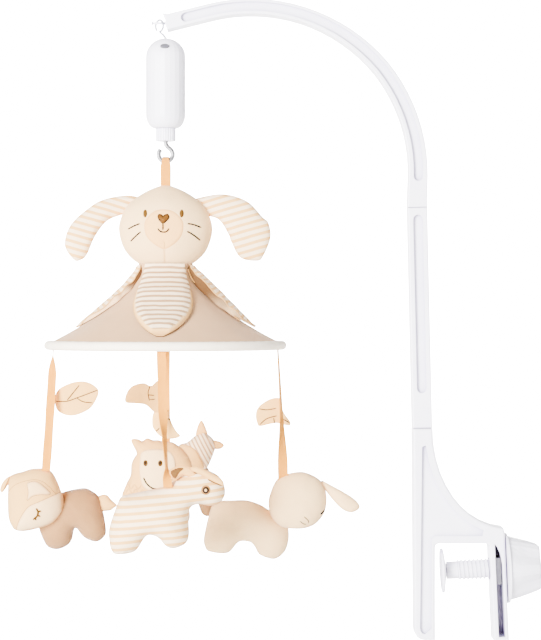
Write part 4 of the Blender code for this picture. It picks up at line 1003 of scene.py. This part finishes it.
def leaf(toy, outline, veins, depth=0.0, curl=0.0):
    """A felt leaf sewn to a ribbon: two thin skins joined at the rim, and embroidered veins."""
    origin = PIVOTS[f"{toy}_swing"]
    loop = through(outline, True, 1.3)
    places, triangles, on_edge = filled(loop, 1.3)
    distance, _ = edge_distance(places, loop)
    half = 0.35 + 0.55 * np.minimum(1, np.sqrt(distance / 3))
    half[on_edge] = 0.22
    middle = places[:, 0].mean()
    verts = []
    for layer in (-1, 1):
        for (x, z), thick in zip(places, half):
            bend = depth + curl * ((x - middle) / 20) ** 2 + 0.8 * noise.noise(Vector((x / 14, z / 14, 1.0)))
            verts.append(origin + Vector((x, bend + layer * thick, z)) * MM)
    edge = np.tile(np.minimum(distance / 5, 1), 2)
    faces = two_skins(triangles, len(places))
    piece = new_piece(f"{toy}_leaf_felt", verts, faces, "leaf", toy, edge=edge, stripe=np.zeros(len(verts)))
    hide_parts(f"{toy}_leaf")
    stitches(f"{toy}_leaf_felt_veins", veins, "brown", toy, origin, surface_of(piece), 0.46, lift=0.15)


# ---- toys ---------------------------------------------------------------------------------

FRONT, REAR = -9, 9
HEAD_NODE, BODY_NODE = "toy_head", "toy_body"


def hung_toy(toy, x, z):
    """A toy whose outlines are about the lower end of its ribbon, given from the joint in millimetres."""
    return Figure(toy, toy, PIVOTS[f"{toy}_swing"] + Vector((x, 0, z)) * MM)


def build_fawn():
    fawn = hung_toy("fawn", -4, -119.3)
    hanging_tape("fawn", (-5.2, -20, -118), ((0, -90), (0.06, -80), (0.22, -8), (1, -2)), sway=0.6, wide=8.8)
    trunk = [
        (13, -22), (33, -18), (42, -21), (49, -27), (52, -36), (56, -60), (53, -68), (46, -72), (38, -70),
        (32, -66), (25, -58), (22, -69), (18, -75), (10, -79), (2, -79), (-5, -74), (-12, -55), (-8, -41),
        (1, -29),
    ]
    tail = [
        (47, -28), (53, -24.5), (57.5, -25.5), (61, -29.5), (66, -34), (66.5, -36), (63.5, -38.5),
        (59, -41), (48.5, -40),
    ]
    skull = [
        (-13, 3), (-25, 0), (-37, -4), (-40, -13), (-40, -43), (-36, -55), (-31, -59), (-20, -59),
        (-1, -54), (7, -49), (13, -41), (15, -32), (13, -20), (3, 0),
    ]
    fawn.plush("body_plush", trunk, "peach", REAR, (BODY_NODE,), plump=0.8)
    fawn.plush("tail_plush", tail, "oat", REAR, plump=0.6, step=1.4)
    head = fawn.plush("head_plush", skull, "oat", FRONT, (HEAD_NODE,), plump=0.74, back=0.9)
    cheek_line = [(-31, -58), (-27.5, -48), (-18, -34), (-6, -28), (8, -22), (12.5, -20)]
    cheek = cheek_line + [(13.5, -31.5), (12.5, -40), (6, -48), (-2, -53), (-20.5, -57.5)]
    brow = [(-39, -20), (-32, -13), (-23, -9), (-11, -7), (-1, -11), (9, -22)]
    fold = [
        (-19, -10.5), (-17.5, -19.5), (-18.5, -27), (-13, -23), (-6, -21.5), (4, -21), (-4, -12),
        (-11.5, -8.5),
    ]
    base = surface_of(head)
    patch = fawn.patch("cheek_patch", cheek, "pale", base, FRONT, lift=0.7)
    flap = fawn.patch("folded_ear", fold, "cream", base, FRONT, lift=1.2)
    face = surface_of(head, patch, flap)
    fawn.sew("face_seams", [cheek_line, brow, fold + fold[:1]], "tan", 0.26, face, FRONT, lift=0.0)
    lashes = [
        [(-9.5, -34.5), (-8, -38.5), (-9, -42.5), (-13, -46)],
        [(-8, -38), (-5, -37.5)],
        [(-9, -41), (-6, -43)],
        [(-11.5, -44), (-10, -46.5)],
    ]
    fawn.sew("sleeping_eye", lashes, "gold", 0.95, face, FRONT)
    ear = [
        (-35.5, -3.5), (-41.5, -6.5), (-46, -12.5), (-47.5, -18.5), (-45.5, -21), (-42, -17), (-38, -10.5),
        (-35, -6),
    ]
    flap = fawn.plush("ear_plush", ear, "oat", FRONT - 4, plump=0.5, step=1.3)
    lining = [(-37.5, -5), (-40, -10), (-42.5, -15.5), (-44.5, -19.5)]
    fawn.sew("ear_lining", [lining], "tan", 0.4, surface_of(flap), FRONT)
    outline = [
        (3, -41), (15.5, -32.5), (28.5, -30), (38, -32.5), (45, -39), (43, -48), (35, -58.5), (18, -64.5),
        (3.5, -58.5),
    ]
    veins = [
        [(3, -50), (13.5, -50), (24, -46.5), (44, -39)],
        [(14, -49), (26, -34)],
        [(24, -47), (30, -50.5), (39, -51.5)],
    ]
    leaf("fawn", outline, veins, depth=-1.0, curl=1.5)


def build_bunny():
    bunny = hung_toy("bunny", 5, -127.3)
    facings = ((0, 84), (0.5, 74), (0.62, 60), (0.95, 4), (1, 2))
    hanging_tape("bunny", (5.4, -14, -129), facings, sway=0.8, wide=10.2)
    trunk = [
        (-64, -24), (-50, -23), (-36, -23), (-23, -27), (-11, -34), (2, -40), (6, -52), (6, -64), (2, -75),
        (-7, -82), (-16, -81), (-24, -77), (-28, -70), (-33, -65), (-44, -65), (-55, -76), (-73, -75),
        (-78, -70), (-79, -59), (-72, -31),
    ]
    skull = [
        (-4, 1), (16, 7), (29, 4), (38, -2), (42, -9), (44, -19), (42, -33), (34, -44), (24, -49),
        (12, -50), (-1, -48), (-10, -40), (-14, -29), (-13, -16),
    ]
    ear = [
        (38.5, -2), (44, -4), (64, -15), (73.5, -22), (77, -28), (73.5, -32), (66.5, -33.5), (57, -28.5),
        (44, -13.5),
    ]
    bunny.plush("body_plush", trunk, "cream", REAR, (BODY_NODE,), plump=0.76)
    head = bunny.plush("head_plush", skull, "cream", FRONT, (HEAD_NODE,), plump=0.74, back=0.9)
    bunny.plush("ear_plush", ear, "cream", FRONT, plump=0.55, step=1.4)
    face = surface_of(head)
    eye = [(37.5, -34.5), (39.5, -32.5), (41.5, -30)]
    whiskers = [
        [(21, -36), (25, -40), (25.5, -43)],
        [(17, -40.5), (20.5, -43.5), (23, -44)],
    ]
    bunny.sew("sleeping_eye", [eye], "brown", 0.9, face, FRONT)
    bunny.sew("whiskers", whiskers, "brown", 0.4, face, FRONT)
    outline = [
        (1, -47), (-8.5, -48.5), (-19, -56), (-22, -64.5), (-20, -74), (-17, -75.5), (-6, -73), (1, -72.5),
        (11, -75), (13, -71.5), (6.5, -62), (3, -51.5),
    ]
    veins = [
        [(-18.5, -58), (-11, -59), (-1.5, -57.5)],
        [(-18, -74), (-11, -68), (-1, -65)],
        [(-4, -67), (-3, -73)],
        [(3, -67), (11.5, -72)],
    ]
    leaf("bunny", outline, veins, depth=1.5, curl=3.0)


def build_pony():
    pony = hung_toy("pony", 2, -118.3)
    facings = ((0, 0), (0.42, 4), (0.62, 62), (0.86, 78), (0.95, 12), (1, 0))
    hanging_tape("pony", (4.5, -13, -126), facings, shift=-2.4, sway=-1.0, wide=8.4)
    outline = [
        (-41, -17), (-32, -15), (-3, -9), (7, -4), (26, 8), (37, 8), (47, 4), (53, -2), (56, -11),
        (55, -18), (50, -24), (41, -26), (30, -24), (22, -30), (22, -53), (19, -61), (12, -65), (5, -66),
        (-1, -63), (-6, -57), (-12, -54), (-19, -55), (-29, -69), (-46, -72), (-51, -68), (-53, -60),
        (-53, -46), (-45, -23),
    ]
    toy = pony.plush("plush", outline, "stripe", 0, (HEAD_NODE, BODY_NODE), plump=0.8, stripes=(-0.1, 0.99))
    eye = (38.3, -10.0)
    rim = pony.patch("eye_rim", ellipse(eye, 4.4, 4.6), "tan", surface_of(toy), lift=0.7, step=0.7)
    ring = pony.patch("eye_ring", ellipse(eye, 3.1, 3.3), "brown", surface_of(toy, rim), lift=0.7, step=0.7)
    pony.patch("eye_centre", ellipse(eye, 1.2, 1.4), "pale", surface_of(toy, ring), lift=0.6, step=0.5)
    front_ear = [(24, 11), (32.5, 11), (50, 2), (55, -3), (53.5, -6.5), (44.5, -2.5), (35, 3), (26.5, 7)]
    flap = pony.plush("ear_front", front_ear, "oat", -12, plump=0.4, step=1.2)
    slit = [(25.5, 7.5), (34.5, 3), (44, -2), (53, -6)]
    pony.sew("ear_slit", [slit], "rust", 0.6, surface_of(flap))
    back_ear = [(3.5, 7.5), (13.5, 12.5), (23, 11), (29.5, 4.5), (30.5, -1), (16, 3.5), (9, -1.5)]
    flap = pony.plush("ear_back", back_ear, "mane", FRONT, plump=0.35, step=1.2)
    hollow = [(5, 7), (12, 10.5), (17.5, 10), (13.5, 6), (9, 0)]
    pony.patch("ear_lining", hollow, "hollow", surface_of(flap), lift=0.3, step=1.0)
    outline = [
        (-10, -57), (-11, -68), (-8.5, -73.5), (-3, -79), (6, -81.5), (15.5, -79), (11.5, -73.5),
        (7, -64.5), (4, -53.5), (1.5, -51.5), (-3, -55),
    ]
    veins = [
        [(-8, -75), (-4, -71)],
        [(1.5, -62), (7, -63)],
        [(4.5, -54), (-1, -62), (-1, -70)],
    ]
    leaf("pony", outline, veins, depth=2.5, curl=2.5)


def build_horse():
    horse = hung_toy("horse", 6, -94.3)
    hanging_tape("horse", (-1.5, 3, -98), ((0, 2), (1, 0)), shift=-3.0)
    trunk = [
        (-14, -24), (0, -16), (14, -15), (30, -24), (40, -38), (44, -52), (43, -68), (38, -82), (30, -80),
        (24, -66), (12, -54), (2, -60), (-8, -62), (-17, -56), (-20, -40),
    ]
    skull = [
        (3, -10), (8, -5), (15, -3), (24, 4), (34, 7), (45, -5), (39, -25), (34, -31), (24, -32),
        (12, -35), (-4, -33), (-8, -24), (-5, -14),
    ]
    horse.plush("body_plush", trunk, "peach", REAR, (BODY_NODE,), plump=0.76)
    slant = {"stripes": (0.88, 0.47)}
    head = horse.plush("head_plush", skull, "fine_stripe", FRONT, (HEAD_NODE,), plump=0.72, **slant)
    nose = [
        (2.5, -11), (8.5, -5.5), (16.5, -6), (24.5, -10.5), (29.5, -19), (33, -29.5), (24.5, -31),
        (16.5, -25), (9, -17.5),
    ]
    chin = [
        (-7, -15.5), (2.5, -11.5), (10, -18), (17.5, -25.5), (23.5, -31), (11.5, -34), (-3, -31.5),
        (-8, -24),
    ]
    base = surface_of(head)
    upper = horse.patch("muzzle_patch", nose, "oat", base, FRONT, lift=1.6)
    lower = horse.patch("chin_patch", chin, "pale", base, FRONT, lift=1.2)
    nostril = ellipse((7.0, -10.3), 2.2, 1.5)
    horse.patch("nostril", nostril, "rust", surface_of(head, upper, lower), FRONT, lift=0.8, step=0.7)
    tall = [(24.5, 2), (25.5, 12), (30, 20), (34.5, 12.5), (36, 4)]
    horse.plush("ear_tall", tall, "mane", FRONT, plump=0.4, step=1.2)
    aside = [(40, -1.5), (48.5, -2), (54, -6.5), (49, -10.5), (40, -9)]
    horse.plush("ear_side", aside, "mane", FRONT, plump=0.4, step=1.2)
    outline = [
        (-44, -55.5), (-42.5, -45), (-36, -38), (-25, -35.5), (-17.5, -38.5), (-11.5, -33.5), (-6, -34),
        (-6, -60), (-12.5, -67), (-22.5, -59), (-32, -57),
    ]
    veins = [
        [(-18, -38), (-20.5, -46), (-19, -54)],
        [(-20, -48), (-14, -48.5)],
        [(-18.5, -53), (-13, -52.5)],
    ]
    leaf("horse", outline, veins, curl=-4.0)


def build_lion():
    lion = hung_toy("lion", 0, -173.3)
    hanging_tape("lion", (0, 0, -175), ((0, 0), (1, 0)))
    trunk = [
        (-30, -46), (-12, -42), (10, -48), (20, -60), (24, -76), (18, -87), (6, -88), (-4, -80),
        (-14, -86), (-26, -90), (-34, -80), (-34, -60),
    ]
    mane = [
        (-34, 2), (-27, 3), (-23, 1), (-18, 4), (-12, 2), (-7, 2), (0, 0), (7, 0), (16, -6), (23, -14),
        (27, -26), (23, -38), (14, -47), (0, -54), (-33, -60), (-43, -55), (-39, -42), (-35, -33),
        (-34, -22), (-31, -15), (-29, -11),
    ]
    oval = [
        (-24.5, -19), (-22.5, -9.5), (-12, -6.5), (4.5, -8.5), (11, -19), (9.5, -33), (1, -45), (-12, -48),
        (-21, -43.5), (-24.5, -32),
    ]
    lion.plush("body_plush", trunk, "beige", REAR, (BODY_NODE,), plump=0.76)
    head = lion.plush("head_plush", mane, "mane", FRONT, (HEAD_NODE,), plump=0.55)
    patch = lion.patch("face_patch", oval, "pale", surface_of(head), FRONT, lift=1.4)
    face = surface_of(head, patch)
    for side, x in (("left", -18.6), ("right", -4.0)):
        eye, pupil = ellipse((x, -20.1), 2.3, 3.1), ellipse((x - 0.2, -19.8), 1.2, 1.8)
        iris = lion.patch(f"eye_{side}", eye, "gold", face, FRONT, lift=1.2, step=0.6)
        lion.patch(f"pupil_{side}", pupil, "brown", surface_of(head, iris), FRONT, lift=0.4, step=0.5)
    smile = [(-20.5, -34.5), (-17.5, -40), (-12.5, -44.5), (-7, -45.5), (-1.5, -44.5)]
    lion.sew("smile", [smile], "brown", 0.75, face, FRONT)
    zigzag = [
        [(-40 + 3.4 * k + row, -44 - 4.4 * row + (2.2 if k % 2 else -2.2)) for k in range(6)]
        for row in range(3)
    ]
    lion.sew("mane_zigzag", zigzag, "seam", 0.45, face, FRONT)


# ---- studio, in metres --------------------------------------------------------------------

VIEW_CENTRE = (-0.1905, 0.222)
VIEW_HEIGHT = 0.640
CAMERA_DISTANCE = 2.0
LIT_PLACE = (-0.2, 0.0, 0.22)
SOFT_LIGHTS = (
    ("key_light", (-1.5, -2.1, 0.5), (0.9, 0.9), 390),
    ("fill_light", (1.7, -1.6, 0.7), (1.6, 1.6), 34),
    ("top_light", (-0.2, -0.2, 2.2), (2.0, 1.2), 12),
)


def linked(name, data):
    """A new object in the scene with the given data."""
    made = bpy.data.objects.new(name, data)
    bpy.context.scene.collection.objects.link(made)
    return made


def aimed_light(name, kind, place, target, power):
    light = linked(name, bpy.data.lights.new(name, kind))
    light.data.energy = power
    light.location = place
    light.rotation_euler = (Vector(target) - Vector(place)).to_track_quat("-Z", "Y").to_euler()
    return light


def build_backdrop():
    """A pale floor that sweeps up into a wall behind the mobile."""
    floor_z = CAD_BOX[0][2] - 0.30
    flat_to, bend, half_width = 3.8, 1.4, 6.0
    profile = [(-5.0, 0.0), (flat_to, 0.0)]
    for i in range(1, 13):
        turn = math.pi / 2 * i / 12
        profile.append((flat_to + bend * math.sin(turn), bend - bend * math.cos(turn)))
    profile.append((flat_to + bend, 5.5))
    verts = [(x, y, floor_z + z) for y, z in profile for x in (-half_width, half_width)]
    faces = [(2 * i, 2 * i + 1, 2 * i + 3, 2 * i + 2) for i in range(len(profile) - 1)]
    mesh = bpy.data.meshes.new("studio_floor")
    mesh.from_pydata(verts, [], faces)
    mesh.shade_smooth()
    paper = Nodes("backdrop_paper")
    pulp = paper.ramp(paper.noise(2.0, 2.0), (0.3, (0.93, 0.93, 0.93, 1)), (0.7, (0.95, 0.95, 0.95, 1)))
    mesh.materials.append(paper.finish(pulp, {"Roughness": 0.9}))
    linked("studio_floor", mesh)


def build_studio():
    """The backdrop, soft lights, an even grey sky, and the camera of the photo."""
    build_backdrop()
    world = bpy.data.worlds.new("studio_world")
    bpy.context.scene.world = world
    world.use_nodes = True
    sky = world.node_tree.nodes["Background"]
    sky.inputs["Color"].default_value = WHITE
    sky.inputs["Strength"].default_value = 0.7
    for name, place, size, power in SOFT_LIGHTS:
        light = aimed_light(name, "AREA", place, LIT_PLACE, power)
        light.data.shape = "RECTANGLE"
        light.data.size, light.data.size_y = size
        light.visible_camera = False
    beam = aimed_light("backdrop_light", "SPOT", (-0.2, 1.2, 3.4), (-0.2, 4.6, 0.1), 34000).data
    beam.spot_size = math.radians(88)
    beam.spot_blend = 0.6
    beam.shadow_soft_size = 0.3
    camera = linked("photo_camera", bpy.data.cameras.new("photo_camera"))
    camera.data.lens = camera.data.sensor_width * CAMERA_DISTANCE / VIEW_HEIGHT
    camera.location = (VIEW_CENTRE[0], -CAMERA_DISTANCE, VIEW_CENTRE[1])
    camera.rotation_euler = (math.pi / 2, 0, 0)
    bpy.context.scene.camera = camera


# ---- assembly -----------------------------------------------------------------------------

finish_hard_nodes()
build_head()
build_ears()
build_canopy()
build_sleeve()
build_petals()
build_top_ribbon()
build_fawn()
build_bunny()
build_pony()
build_horse()
build_lion()
build_studio()
